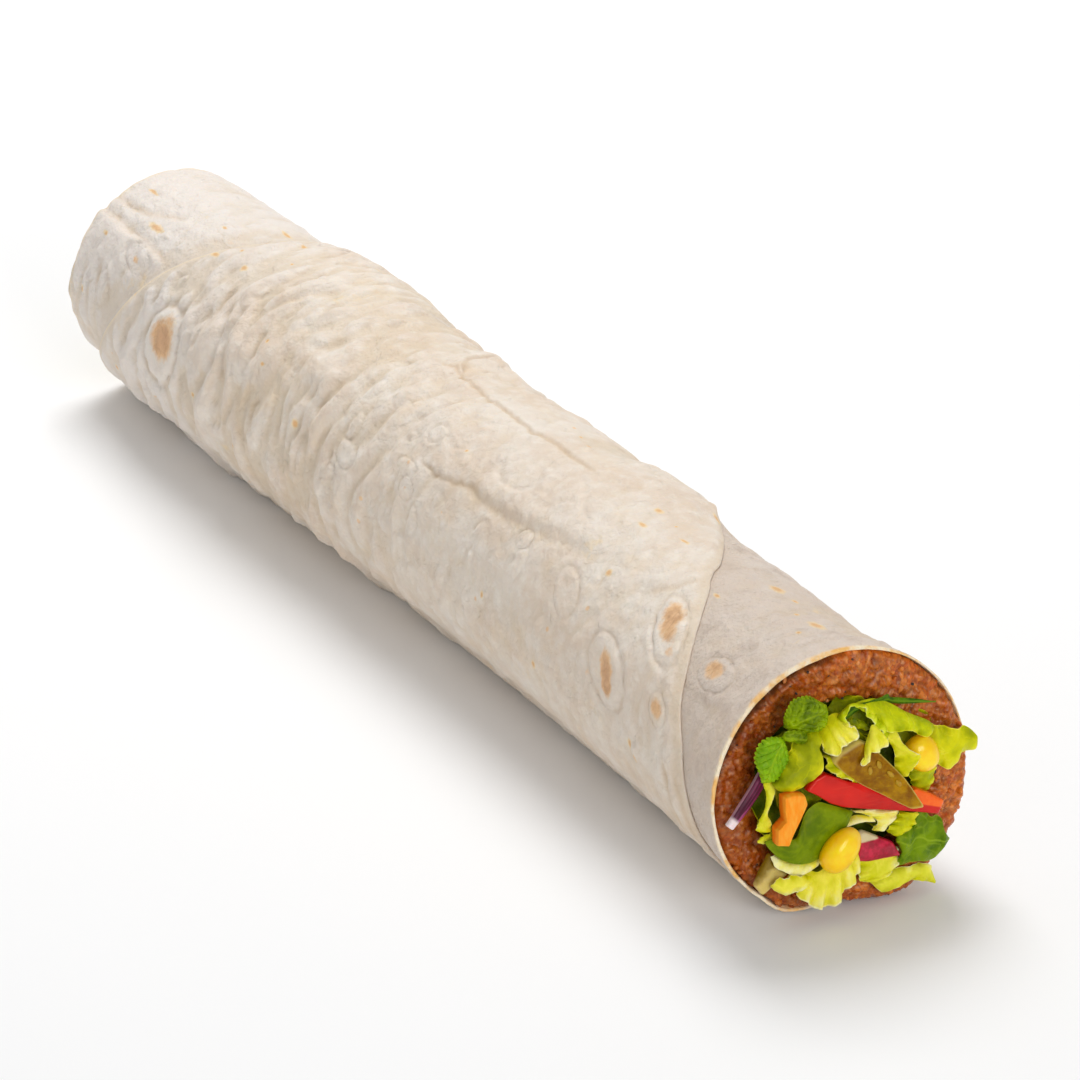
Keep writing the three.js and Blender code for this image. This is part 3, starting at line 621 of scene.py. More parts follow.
def bread_relief(x, wind, flap):
    """The sheet's own ups and downs, and the values that its colours are worked out from."""
    angle = (WIND_END - wind + 90) % 360 - 90
    arc = angle * DEGREE
    seed = 5 if flap else 40
    if flap:
        creased = smooth(x, 30, -30) * smooth(x, -128, -100) * lerp(0.8, 1.25, smooth(angle, 95, 165))
    else:
        creased = smooth(x, -88, -100) * lerp(0.15, 0.6, smooth(angle, 125, 165))
    bend = 4 * noise(x / 16, arc / 16, seed=seed + 3)
    folds = np.sqrt(noise((x + bend) / 7, arc / 20 + x / 80, seed=seed + 4) ** 2 + 0.006)
    finer = np.sqrt(noise((x + 0.6 * bend) / 3.8, arc / 9, seed=seed + 6) ** 2 + 0.006)
    patchy = smooth(noise(x / 20, arc / 12, seed=seed + 12), -0.3, 0.25)
    height = 0.3 * layered(x / 18, arc / 14, seed=seed, octaves=2)
    height += 0.26 * noise(x / 4.4, arc / 4.8, seed=seed + 9)
    height += 0.12 * noise(x / 2.1, arc / 2.6, seed=seed + 10) * (0.35 + 0.65 * patchy)
    ripples = noise((x + 0.5 * bend) / 1.5, arc / 6, seed=seed + 11)
    height += creased * (2.6 * folds + 1.3 * patchy * finer + 0.35 * ripples - 0.8)
    height += (1 - creased) * (0.45 * folds + 0.3 * finer - 0.15) + 0.1 * ripples * patchy
    values = {key: np.zeros(x.shape) for key in ("crease", "toast", "ring")}
    values["oval"] = np.full(x.shape, 3.0)
    for item in FLAP_CREASES if flap else UNDER_CREASES:
        rise, near = crease(x, angle, *item)
        height += rise
        values["crease"] = np.maximum(values["crease"], near)
    ragged = 0.1 * noise(x / 2.4, arc / 2.4, seed=seed + 7)
    for *place, tall in FLAP_LUMPS if flap else UNDER_LUMPS:
        height += tall * np.exp(-oval(x, angle, *place) ** 2)
    for *place, tall, clear in FLAP_BLISTERS if flap else UNDER_BLISTERS:
        r = oval(x, angle, *place) + ragged
        height = lerp(height, (0.5 if clear < 1.2 else 0.25) * height, smooth(r, 1.3, 0.9)) + bubble(r, tall)
        if clear:
            values["ring"] = np.where(r < 1.8, clear, values["ring"])
            values["oval"] = np.minimum(values["oval"], r)
    for *place, brown in FLAP_TOAST if flap else UNDER_TOAST:
        values["toast"] = np.maximum(values["toast"], brown * np.clip(1.5 - oval(x, angle, *place), 0, 1))
    if flap:
        height += small_bubbles(x, angle, 300, ((-120, 60), (60, 235)), 3)
        height += small_bubbles(x, angle, 60, ((60, 118), (60, 235)), 4)
    else:
        height += small_bubbles(x, angle, 50, ((112, 139), (20, 225)), 8)
        height += 0.8 * small_bubbles(x, angle, 50, ((-131, -84), (20, 225)), 9)
    return np.clip(height, -1.2, 1.7), values


def bread_rows(winds, u, flap):
    """The closed cross-section of the sheet at each winding: outer side, near edge, inner side, far edge."""
    wind = winds[:, None] + 0 * u[None, :]
    angle = WIND_END - wind
    far, near = bread_reach(wind)
    loose = smooth(wind, *COMING_LOOSE)
    arc = wind * DEGREE
    near = near + 0.35 * noise(arc / 9, 1.0, seed=21) + 0.15 * noise(arc / 2.5, 4.0, seed=22)
    far = far + 0.7 * noise(arc / 20, 7.0, seed=23) + 0.2 * noise(arc / 6, 7.0, seed=24)
    far = far - (1 - loose) * 1.6 * np.exp(-((angle % 360 - 182) / 24) ** 2)
    x = lerp(far, near, u[None, :])
    height, values = bread_relief(x, wind, flap)
    if flap:
        under_relief, _ = bread_relief(x, wind, False)
        height = lerp(under_relief, height, smooth(wind, *RELIEF_CHANGE)) * smooth(angle, -2, 10)
    else:
        over_far, over_near = bread_reach(wind + 360)
        past = np.maximum(x - over_near, over_far - x)
        height = lerp(np.clip(height, 0, 0.06), height, smooth(past, 1.0, 9.0))
        height = height - 0.3 * smooth(over_far - x, 0.3, 2.0) * smooth(over_far - x, 14, 5)
        # Just beyond the flap's edges the turn under them gets a painted shade, for the shade that the edges
        # cast.
        values["tuck"] = np.where(past > -1, np.exp(-np.maximum(past, 0) / 2.2), 0.0)
    values.setdefault("tuck", np.zeros(x.shape))
    from_near, from_far = near - x, x - far
    edge = np.minimum(from_near, from_far)
    height = height * lerp(1 - 0.6 * smooth(from_near, 3.0, 0.0), smooth(edge, 0.0, 4.0), loose)
    press = -(PITCH - BREAD) * smooth(edge, 4.0, 0.8)
    height = height + loose * (press - 0.45 * np.exp(-edge / 1.1))
    radius = bread_radius(x, wind)
    thin = lerp(1, along(RIM_THICKNESS, (angle + 90) % 360 - 90),
                smooth(from_near, 7, 0) * smooth(wind, *THIN_RIM_END))
    thickness = BREAD * thin
    outer = on_section(x, angle, radius + height)
    under = radius - thickness + loose * press
    inner_columns = [i for i in range(len(u)) if round(u[i] * COLUMNS) in INNER_COLUMNS]
    inner = on_section(x, angle, under)[:, inner_columns][:, ::-1]

    def edge_of(column, outward):
        drops = ((0.2, 0.2), (0.3, 0.5), (0.2, 0.85))
        top, bottom = (radius + height)[:, column], under[:, column]
        return [on_section(x[:, column] + outward * push, angle[:, column], lerp(top, bottom, drop))[:, None]
                for push, drop in drops]

    points = np.concatenate([outer, *edge_of(-1, 1), inner, *edge_of(0, -1)[::-1]], axis=1)
    cut = len(u)
    side = points.shape[1] - cut

    def carry(a, fill):
        return np.concatenate([a, np.full((len(winds), side), fill)], axis=1)

    to_rim, to_far = carry(from_near, 0.0), carry(from_far, 9.0)
    to_rim[:, cut:cut + 3] = -1.0
    to_far[:, -3:] = -1.0
    points[..., 2] = np.maximum(points[..., 2], 0.01 * np.arange(points.shape[1]) / points.shape[1])
    layer = np.broadcast_to(smooth(winds, *COLOUR_CHANGE)[:, None] if flap else 0.0, points.shape[:2])
    sheet = np.stack([points[..., 0], np.broadcast_to(winds[:, None] * DEGREE, layer.shape), layer], -1)
    values = {key: carry(value, 3.0 if key == "oval" else 0.0) for key, value in values.items()}
    values.update(sheet=sheet, relief=carry(height, 0.0), to_rim=to_rim, to_far=to_far)
    return points, values, cut, inner_columns


def bread_finish():
    f = Finish("flatbread", Subsurface_Weight=0.12, Subsurface_Scale=0.002, Specular_IOR_Level=0.3,
               Subsurface_Radius=(1.0, 0.7, 0.45))
    sheet = f.value("sheet", vector=True)
    inner = f.band(f.split(sheet, "Z"), 0.6, 0.4)
    relief = f.value("relief")
    ragged = f.minus(f.noise(0.7, 4, 0.65, sheet), 0.5)
    base = f.between(f.band(f.noise(0.05, 3, 0.6, sheet), 0.35, 0.65), (233, 221, 207), (227, 209, 190))
    flour = f.noise(0.3, 5, 0.7, sheet)
    base = f.over(base, f.band(flour, 0.45, 0.7), 0.45, 243, 234, 223)
    spots = f.cells(0.3, feature="SMOOTH_F1", vector=f.shifted(sheet, f.stretch(sheet, (0.1, 0.1, 0))))
    base = f.over(base, f.band(spots, 0.45, 0.15), 0.2, 248, 241, 231)
    warm = f.band(f.noise(0.09, 4, 0.65, sheet), 0.5, 0.72)
    base = f.over(base, warm, 0.3, 232, 206, 170)
    papery = f.times(inner, f.band(f.split(sheet, "X"), -40, 60))
    base = f.over(base, papery, f.range(flour, 0.3, 0.9), 212, 195, 182)
    cloudy = f.band(f.noise(0.16, 5, 0.7, f.stretch(sheet, (1, 0.7, 1))), 0.5, 0.68)
    base = f.over(base, f.times(cloudy, papery), 0.45, 186, 166, 150)
    # Paler toward the far end: painted light, for the brighter light that falls on that end.
    base = f.over(base, f.band(f.split(sheet, "X"), -50, -105), 0.75, 236, 228, 221)
    # Painted shade on the under turn just beyond the flap's edges.
    base = f.over(base, f.value("tuck"), 0.4, 196, 178, 160)
    # Darker tan where the relief sinks: painted shade in the valleys.
    base = f.over(base, f.band(relief, 0.15, -0.45), 0.45, 220, 198, 168)
    # Darker tan along the creases: painted shade in the crease lines.
    base = f.over(base, f.value("crease"), 0.35, 204, 172, 130)
    # A blister's raised border is painted paler and its ring groove darker: painted highlight and painted
    # shade of the ring's relief.
    ring = f.value("oval")
    border = f.times(f.times(f.band(ring, 0.5, 0.7), f.band(ring, 1.05, 0.9)), f.value("ring"))
    base = f.over(base, border, 0.12, 246, 239, 230)
    groove = f.times(f.band(ring, 0.9, 1.03), f.band(ring, 1.18, 1.04))
    broken = f.range(f.band(f.noise(0.22, 2), 0.35, 0.6), 0.2, 1.0)
    groove = f.times(f.times(groove, f.value("ring")), broken)
    base = f.over(base, groove, 0.2, 200, 176, 152)
    toast = f.plus(f.value("toast"), f.times(ragged, 0.7))
    toasted = f.between(f.band(toast, 0.55, 1.15), (240, 196, 146), (214, 168, 128))
    darker = f.noise(0.5, 4, 0.6, f.stretch(sheet, (1, 0.6, 1)))
    toasted = f.over(toasted, f.band(darker, 0.5, 0.68), 0.35, 178, 126, 84)
    lines = f.band(f.calc("ABSOLUTE", f.minus(f.noise(0.15, 2, 0.5, sheet, 0.4), 0.5)), 0.03, 0.0)
    toasted = f.over(toasted, lines, 0.15, 158, 104, 66)
    base = f.mix(f.times(f.band(toast, 0.28, 0.8), 0.95), base, toasted)
    wander = f.times(ragged, 1.6)
    near_fleck = None
    for layer, flecks in ((1, FLAP_FLECKS), (0, UNDER_FLECKS)):
        for x, angle, half_x, half_a in flecks:
            wind = WIND_END - angle - (0 if layer else 360)
            offset = f.node("ShaderNodeVectorMath", 0, (sheet, (x, wind * DEGREE, layer)),
                            operation="SUBTRACT")
            scaled = f.stretch(offset, (1 / half_x, 1 / half_a, 0))
            r = f.node("ShaderNodeVectorMath", "Value", (scaled,), operation="LENGTH")
            near_fleck = f.calc("MINIMUM", near_fleck, r) if near_fleck else r
    fleck = f.band(f.plus(near_fleck, wander), 1.4, 0.7)
    amber = f.between(f.band(near_fleck, 1.0, 0.3), (244, 214, 160), (232, 172, 92))
    base = f.mix(f.times(fleck, 0.7), base, amber)
    dots = f.plus(f.cells(0.11, vector=sheet), f.times(ragged, 0.12))
    chosen = f.band(f.split(f.cells(0.11, "Color", vector=sheet), "X"), 0.7, 0.72)
    base = f.over(base, f.times(f.band(dots, 0.07, 0.03), chosen), 0.5, 240, 186, 110)
    stain = f.band(f.noise(0.08, 4, 0.7, f.stretch(sheet, (1, 1, 3))), 0.63, 0.74)
    base = f.over(base, stain, 0.4, 246, 216, 160)
    gold = f.times(f.band(f.plus(f.value("to_rim"), f.times(ragged, 1.4)), 0.8, -0.4), inner)
    golden = f.between(f.band(f.noise(0.12, 4, 0.7), 0.42, 0.62), (254, 236, 206), (246, 192, 116))
    base = f.mix(gold, base, golden)
    # A cream line at the far edges: the edge's own paler colour, and a painted highlight where the edge
    # catches the light.
    base = f.over(base, f.band(f.value("to_far"), 1.3, -0.3), 0.65, 242, 222, 188)
    skin = f.noise(1.3, 4, 0.6, f.stretch(sheet, (1, 0.65, 1)))
    skin = f.times(skin, f.range(papery, 1.0, 1.9))
    lumps = f.noise(0.34, 3, 0.5, f.stretch(sheet, (1, 0.8, 1)))
    swayed = f.shifted(f.stretch(sheet, (1, 0.6, 1)), f.times(f.noise(0.3, 2, 0.5, sheet), 3.0))
    domes = f.cells(0.33, feature="SMOOTH_F1", vector=swayed)
    ringed = f.minus(f.times(border, 0.6), groove)
    return f.done(base, f.range(flour, 0.58, 0.75), (lumps, 0.7), (domes, -0.5), (ringed, 0.16), (skin, 0.3),
                  (lines, -0.03))


# The windings of the sheet's rows, as runs of start, end and step. They are closer where the photo shows more
# relief, and the flap's last rows close up to its tip.
HIDDEN_ROWS = ((0, 45, 4.5), (45, 280, 1.7))
FLAP_ROWS = ((280.5, 330, 2.5), (330.5, 493, 1.5), (493, 515, 0.9), (515, 537, 1.45), (537, 549, 0.75),
             (549, 590, 1.5))
TIP_ROWS_START = 592
TIP_ROWS = np.sin(np.linspace(0.08, math.pi / 2, 24))


def build_bread():
    u = np.linspace(0, 1, COLUMNS + 1)
    # The hidden turn keeps every fifth column, and all of them by its ends, where it shows.
    keep = [i for i in range(COLUMNS + 1)
            if i % 5 == 0 or i >= COLUMNS - 100 or i < 80 or i in INNER_COLUMNS]
    hidden_winds = np.concatenate([np.arange(*run) for run in HIDDEN_ROWS])
    tip_winds = TIP_ROWS_START + (WIND_END - TIP_ROWS_START) * TIP_ROWS
    flap_winds = np.concatenate([np.arange(*run) for run in FLAP_ROWS] + [tip_winds])
    first, first_values, first_cut, first_inner = bread_rows(hidden_winds, u[keep], False)
    second, second_values, second_cut, second_inner = bread_rows(flap_winds, u, True)
    rows_a, size_a = first.shape[:2]
    rows_b, size_b = second.shape[:2]
    start_b = rows_a * size_a
    faces = grid_faces(rows_a, size_a, 0, closed=True) + grid_faces(rows_b, size_b, start_b, closed=True)
    last = (rows_a - 1) * size_a
    for k in range(len(keep) - 1):
        faces.append([last + k, last + k + 1, *(start_b + j for j in range(keep[k + 1], keep[k] - 1, -1))])
    tail_a, tail_b = list(range(first_cut - 1, size_a)) + [0], list(range(second_cut - 1, size_b)) + [0]
    for (a, b), (c, d) in zip(zip(tail_a[:-1], tail_a[1:]), zip(tail_b[:-1], tail_b[1:])):
        faces.append([last + a, last + b, start_b + d, start_b + c])

    def cap(row_start, cut, inner, size, flip):
        count = len(inner)
        ends = []
        for k in range(count - 1):
            below = [cut + 3 + count - 1 - j for j in (k, k + 1)]
            ends.append([*range(inner[k], inner[k + 1] + 1), below[1], below[0]])
        ends.append([cut - 1, cut, cut + 1, cut + 2, cut + 3])
        ends.append([size - 3, size - 2, size - 1, 0, cut + 2 + count])
        return [[row_start + i for i in (face[::-1] if flip else face)] for face in ends]

    faces += cap(0, first_cut, first_inner, size_a, True)
    faces += cap(start_b + (rows_b - 1) * size_b, second_cut, second_inner, size_b, False)
    shape = Shape()
    values = {key: np.concatenate([first_values[key].reshape(rows_a * size_a, -1).squeeze(),
                                   second_values[key].reshape(rows_b * size_b, -1).squeeze()])
              for key in first_values}
    shape.add(np.concatenate([first.reshape(-1, 3), second.reshape(-1, 3)]), faces, **values)
    shape.build("flatbread_sheet", bread_finish(), "flatbread", ["flatbread"])


# ---------------------------------------------------------------- forms for the filling

def grid_normals(points):
    """Normals of a grid of points given row by row, to the side where columns turn left of rows."""
    return unit(np.cross(np.gradient(points, axis=1), np.gradient(points, axis=0)))


def eased(values, t):
    """Values spread evenly over 0 to 1, eased between."""
    return along(list(zip(np.linspace(0, 1, len(values)), values)), t)


def blade_solid(shape, middle, toward_viewer, edge, thick, **values):
    """A closed thin sheet on a grid of points, thinner at its margins."""
    outward = grid_normals(middle)
    if np.sum(outward * toward_viewer) < 0:
        outward = -outward
    half_thick = (thick / 2 * (1 - 0.6 * edge ** 6))[..., None]
    rows, columns = middle.shape[:2]
    count = rows * columns
    first = grid_faces(rows, columns)
    second = [[i + count for i in face[::-1]] for face in first]
    index = np.arange(count).reshape(rows, columns)
    loop = [*index[:, 0], *index[-1, 1:], *index[::-1, -1][1:], *index[0, ::-1][1:-1]]
    strip = [[loop[i], loop[i - 1], loop[i - 1] + count, loop[i] + count] for i in range(len(loop))]
    doubled = {}
    for key, value in values.items():
        value = np.asarray(value, float)
        if value.ndim:
            value = value.reshape(count, -1).squeeze()
            value = np.concatenate([value, value])
        doubled[key] = value
    sides = np.stack([middle + outward * half_thick, middle - outward * half_thick])
    shape.add(sides, first + second + strip, **doubled)


def crinkles(down, wide, seed):
    """The small ups and downs of a leaf's blade, about -1 to 1."""
    return noise(down / 1.9, wide / 1.9, seed=seed + 2) + 0.5 * noise(down / 0.9, wide / 0.9, seed=seed + 3)


# How thick a leaf is in mm. A plain leaf's half-width from root to tip as shares of its widest, how far its
# sides bend forward, how high its crinkles are, and the share of its length that rounds off its end.
LEAF_THICKNESS = 0.42
LEAF_OUTLINE = (0.35, 0.8, 1, 0.95, 0.7, 0.12)
LEAF_CUP = 0.3
LEAF_PUCKER = 0.14
LEAF_TIP = 0.22


def leaf(shape, spine, width, facing, waves, tone, depth=0.8, rows=50, columns=34, seed=0):
    """A thin leaf with rippled margins. The spine and the way it faces are in the mouth's frame."""
    t = (1 - (1 - np.linspace(0, 1, rows)) ** 1.5)[:, None]
    v = np.linspace(-1, 1, columns + 1)[None, :]
    v = np.sign(v) * np.abs(v) ** 0.85
    rounding = np.sqrt(np.clip(1 - np.clip((t - 1 + LEAF_TIP) / LEAF_TIP, 0, 1) ** 2, 0.0004, 1))
    centre, ahead = curve_through(at_mouth(spine), t[:, 0])
    side = unit(np.cross(ahead, toward(facing)))[:, None]
    normal = np.cross(side[:, 0], ahead)[:, None]
    centre, ahead = centre[:, None], ahead[:, None]
    uneven = 1 + 0.12 * noise(t * 4.5, np.sign(v) * 3.3, seed=seed)
    half = width * eased(LEAF_OUTLINE, t) * rounding * uneven
    length = np.linalg.norm(np.diff(centre[:, 0], axis=0), axis=1).sum()
    across = half * np.sin(LEAF_CUP * v) / LEAF_CUP
    rise = half * (1 - np.cos(LEAF_CUP * v)) / LEAF_CUP
    edge = 1 - (1 - np.abs(v)) * (1 - smooth(t, 1 - LEAF_TIP, 1.0))
    phase = 2 * math.pi * waves * (t + 0.12 * v) + 1.6 * noise(t * 2.2, v * 1.3, seed=seed + 1)
    phase = phase + 1.3 * np.sign(v) * smooth(np.abs(v), 0, 0.4)
    ripple = depth * (np.sin(phase) * edge ** 2.2 + 0.22 * np.sin(2.1 * phase + 1 + seed) * edge ** 5)
    slide = 0.3 * depth * np.cos(phase) * edge ** 2
    down, wide = t * length, v * half
    crinkle = LEAF_PUCKER * crinkles(down, wide, seed)
    middle = centre + side * across[..., None] + normal * (rise + ripple + crinkle)[..., None]
    middle = middle + ahead * slide[..., None]
    blade = np.stack(np.broadcast_arrays(down, wide, half), -1)
    blade_solid(shape, middle, normal, edge, LEAF_THICKNESS, blade=blade, margin=edge, tone=tone, fresh=0.3,
                hollow=ripple / max(depth, 0.1) + crinkle)


def even_curve(points, t):
    """Points at even steps of length along a smooth curve given in the mouth's frame."""
    fine, _ = curve_through(at_mouth(points), np.linspace(0, 1, 400))
    place = np.concatenate([[0], np.cumsum(np.linalg.norm(np.diff(fine, axis=0), axis=1))])
    return np.stack([np.interp(t * place[-1], place, fine[:, k]) for k in range(3)], -1)


def frill(shape, first, second, tone=0.5, fresh=0.3, both=False, bulge=0.8, folds=3.0, fold=0.45, fine=0.16,
          pucker=0.1, shade=0.25, teeth=(0, 0), quilt=(0, 0), thick=LEAF_THICKNESS, rows=34, columns=96,
          seed=0):
    """A thin leaf between two lines in the mouth's frame: from its root to its margin or, with both, from one
    margin to the other. It bulges forward between them, and folds grow toward a margin. teeth is how many and
    how long, quilt how many side veins and how high it stands between them, and shade how much paler the
    margin is."""
    s = np.linspace(0, 1, columns + 1)
    t = np.linspace(0, 1, rows)[:, None]
    start, end = even_curve(first, s), even_curve(second, s)
    across = end - start
    reach = np.maximum(np.linalg.norm(across, axis=1), 0.02)
    ahead = unit(np.gradient((start + end) / 2, axis=0))
    normal = np.cross(ahead, across / reach[:, None])
    normal = unit(normal * np.sign(np.sum(normal @ OUT)) + 0.8 * OUT)
    edge = np.abs(2 * t - 1) + 0 * s if both else t + 0 * s
    size = np.minimum(1, reach / 4)
    phase = 2 * math.pi * folds * s + 1.4 * noise(s * 3, t * 1.2, seed=seed)
    wave = fold * size * np.sin(phase) * edge ** 1.4
    wave = wave + fine * size * np.sin(2.7 * phase + 1 + seed) * edge ** 3
    length = np.linalg.norm(np.diff((start + end) / 2, axis=0), axis=1).sum()
    down, wide = (s * length, (t - 0.5) * reach) if both else (t * reach, s * length)
    crinkle = pucker * crinkles(down, wide, seed)
    lift = bulge * size * 4 * t * (1 - t) + wave + crinkle * np.minimum(1, reach / 1.5)
    if quilt[0]:
        veins = np.abs(np.sin(math.pi * (quilt[0] * s - 0.35 * quilt[0] * edge * reach / reach.max())))
        inward = smooth(edge, 0.02, 0.25) * smooth(edge, 1.1, 0.8)
        lift = lift + quilt[1] * (veins ** 0.6 - 0.6) * inward * size
    middle = start + across * t[..., None] + normal * lift[..., None]
    if teeth[0]:
        saw = np.abs(np.sin(math.pi * teeth[0] * s)) - 0.5
        push = teeth[1] * saw * edge ** 5 * np.sign(t - 0.5) * size
        middle = middle + (across / reach[:, None]) * push[..., None]
    blade = np.stack(np.broadcast_arrays(down, wide, reach + 0 * edge), -1)
    blade_solid(shape, middle, normal, edge, thick, blade=blade, margin=edge,
                # shade pales the margin and darkens the root: the margin's paleness is the leaf's own, the
                # darker root a painted shade where it goes in among other leaves.
                tone=tone + shade * (t - 0.5) + 0 * s, fresh=fresh, hollow=wave / max(fold, 0.1) + crinkle)


# A bar's section is a rounded box, squarer with a higher power. Its domed ends close in four rings, each
# given by its share of the section and of the dome's depth.
BAR_POWER = 3.4
BAR_ROWS = 48
BAR_SIDES = 32
BAR_DOME = 0.25
END_SHRINK = np.array([0, 0.45, 0.8, 0.94])
END_PUSH = np.array([0, 0.05, 0.25, 0.6])


def sweep(shape, spine, facing, half_width, half_depth, rough, seed):
    """A bar along a spine, with slightly domed ends."""
    t = np.concatenate([np.zeros(4), np.linspace(0, 1, BAR_ROWS), np.ones(4)])
    scale = np.concatenate([END_SHRINK, np.ones(BAR_ROWS), END_SHRINK[::-1]])
    out = np.concatenate([(1 - END_PUSH) * -BAR_DOME, np.zeros(BAR_ROWS), (1 - END_PUSH[::-1]) * BAR_DOME])
    centre, ahead = curve_through(at_mouth(spine), t)
    side = unit(np.cross(ahead, toward(facing)))
    normal = np.cross(side, ahead)
    turn = np.linspace(0, 2 * math.pi, BAR_SIDES, endpoint=False)
    c, s = np.cos(turn), np.sin(turn)
    bulk = (np.abs(c) ** BAR_POWER + np.abs(s) ** BAR_POWER) ** (-1 / BAR_POWER)
    wide = (eased(half_width, t) * scale)[:, None] * (c * bulk)
    deep = (eased(half_depth, t) * scale)[:, None] * (s * bulk)
    grain = 1 + rough * layered(t[:, None] * 7, c * 1.3, s * 1.3 + seed, seed=seed)
    points = (centre + ahead * out[:, None])[:, None] + side[:, None] * (wide * grain)[..., None]
    points = points + normal[:, None] * (deep * grain)[..., None]
    length = np.linalg.norm(np.diff(centre, axis=0), axis=1).sum()
    section = np.stack(np.broadcast_arrays((t * length)[:, None], c * bulk + 0 * t[:, None],
                                           s * bulk + 0 * t[:, None]), -1)
    faces = [face[::-1] for face in grid_faces(len(t), BAR_SIDES, closed=True)]
    shape.add(points, faces, section=section.reshape(-1, 3))


def slab(shape, outline, base, lift, depth, bulge=0.3, round_off=0.5, rough=0.06, soft=3, seed=0, steps=160):
    """A flat-cut piece with the outline given at the mouth, seen from outside. Its front stands at base plus
    lift per mm right and up; depth is its thickness, and soft is how rounded its corners are."""
    corners = np.array(outline, float)
    closed = np.concatenate([corners, corners[:1]])
    lengths = np.linalg.norm(np.diff(closed, axis=0), axis=1)
    place = np.concatenate([[0], np.cumsum(lengths)])
    at = np.linspace(0, place[-1], steps, endpoint=False)
    edge = np.stack([np.interp(at, place, closed[:, k]) for k in (0, 1)], -1)
    for _ in range(soft):
        edge = (np.roll(edge, 1, 0) + 2 * edge + np.roll(edge, -1, 0)) / 4
    middle = edge.mean(0)
    reach = np.linalg.norm(edge - middle, axis=1).mean()
    inset = round_off / reach
    rings = [(0.02, -depth), (0.5, -depth), (1 - inset, -depth), (1 - 0.3 * inset, -0.85 * depth),
             (1, -0.6 * depth), (1, -0.4 * depth), (1 - 0.15 * inset, -0.2 * depth),
             (1 - 0.5 * inset, -0.05 * depth), (1 - inset, 0)]
    rings += [(k * (1 - inset), 0) for k in np.linspace(0.93, 0.03, 15)]
    share = np.array([k for k, _ in rings])[:, None]
    flat = middle + (edge - middle)[None] * share[..., None]
    height = np.array([z for _, z in rings])[:, None] * np.ones(steps)
    front = smooth(height, -0.9 * depth, 0)
    rise = base + flat[..., 0] * lift[0] + flat[..., 1] * lift[1]
    height = height + rise + front * bulge * (1 - share ** 2)
    height += rough * layered(flat[..., 0] / 1.5, flat[..., 1] / 1.5, height / 1.5, seed=seed)
    points = at_mouth(np.concatenate([flat, height[..., None]], -1))
    local = np.concatenate([flat, front[..., None]], -1)
    rows = len(rings)
    faces = grid_faces(rows, steps, closed=True)
    faces += [list(range(steps))[::-1], list(range((rows - 1) * steps, rows * steps))]
    (ax, ay), (bx, by) = edge[1] - edge[0], middle - edge[0]
    if ax * by - ay * bx <= 0:
        faces = [face[::-1] for face in faces]
    inside = np.broadcast_to(1 - share, height.shape).ravel()
    shape.add(points, faces, local=local.reshape(-1, 3), inside=inside)


def kernel(shape, centre, axis, long_half, wide_half, deep_half, seed):
    """A sweetcorn kernel: a plump rounded form, narrower at one end, with a shallow dent in its face."""
    rows, columns = 48, 64
    a = np.linspace(0, math.pi, rows)[:, None]
    b = np.linspace(0, 2 * math.pi, columns, endpoint=False)[None, :]
    x = np.cos(a) + 0 * b
    ring = np.sin(a) ** 0.85 * (1 - 0.1 * x)
    y, z = ring * np.cos(b), ring * np.sin(b)
    swell = 1 + 0.03 * layered(x * 1.2, y * 1.2, z * 1.2 + seed, seed=seed)
    dent = 0.09 * np.exp(-((x - 0.15) / 0.5) ** 2 - (y / 0.28) ** 2) * (z > 0)
    local = np.stack([x * long_half, y * wide_half, (z - dent) * deep_half], -1) * swell[..., None]
    ahead = unit(np.array(axis, float))
    out = unit(np.array([0, 0, 1.0]) - ahead[2] * ahead)
    right = np.cross(ahead, out)
    points = at_mouth(np.array(centre) + local @ np.stack([ahead, right, out]))
    shape.add(points, grid_faces(rows, columns, closed=True), local=np.stack([x, y, z], -1).reshape(-1, 3))


def ball(shape, centre, axes, sides=8, rings=5, **values):
    """A small closed rounded form with three half-axes given as vectors."""
    a = np.linspace(0, math.pi, rings + 2)[1:-1][:, None]
    b = np.linspace(0, 2 * math.pi, sides, endpoint=False)[None, :]
    body = np.stack([np.sin(a) * np.cos(b), np.sin(a) * np.sin(b), np.cos(a) + 0 * b], -1).reshape(-1, 3)
    points = centre + np.concatenate([body, [[0, 0, 1], [0, 0, -1]]]) @ axes
    top, bottom = rings * sides, rings * sides + 1
    faces = [face[::-1] for face in grid_faces(rings, sides, closed=True)]
    faces += [[top, i, (i + 1) % sides] for i in range(sides)]
    faces += [[bottom, (rings - 1) * sides + (i + 1) % sides, (rings - 1) * sides + i] for i in range(sides)]
    shape.add(points, faces, **values)


# ---------------------------------------------------------------- bulgur paste

# The bore that holds the salad: its middle, seen from the roll's own, and its radius.
BORE = np.array([0.9, -2.0])
BORE_RADIUS = 18.6
# Where the paste stands out past the rim, where a gap shows between it and the bread, and its darkest place.
SPILL_ANGLE = math.radians(314.5)
GAP_ANGLE = 126
SHADE_ANGLE = 130
# A loose grain's half-lengths along its three axes, as shares of its size.
GRAIN_LENGTHS = ((0.8, 1.1), (0.8, 1.0), (1.1, 1.8))


def paste_outside(x, angle):
    """The radius of the paste's outer side, just inside the sheet's first turn."""
    wind = (WIND_END - angle) % 360
    step = smooth(wind, 325, 360)
    a = np.radians(angle)
    wave = 0.3 * noise(np.cos(a) * 9, np.sin(a) * 9, 0.5, seed=63)
    gap = 0.1 + (1.7 + 2.2 * wave) * smooth(turn_from(angle, GAP_ANGLE), 50, 18)
    rim = (1 - along(RIM_THICKNESS, (angle + 90) % 360 - 90)) * smooth(near_rim(angle) - x, 7, 0)
    return bread_radius(x, wind) - PITCH * step - BREAD - gap + 0.8 * BREAD * rim


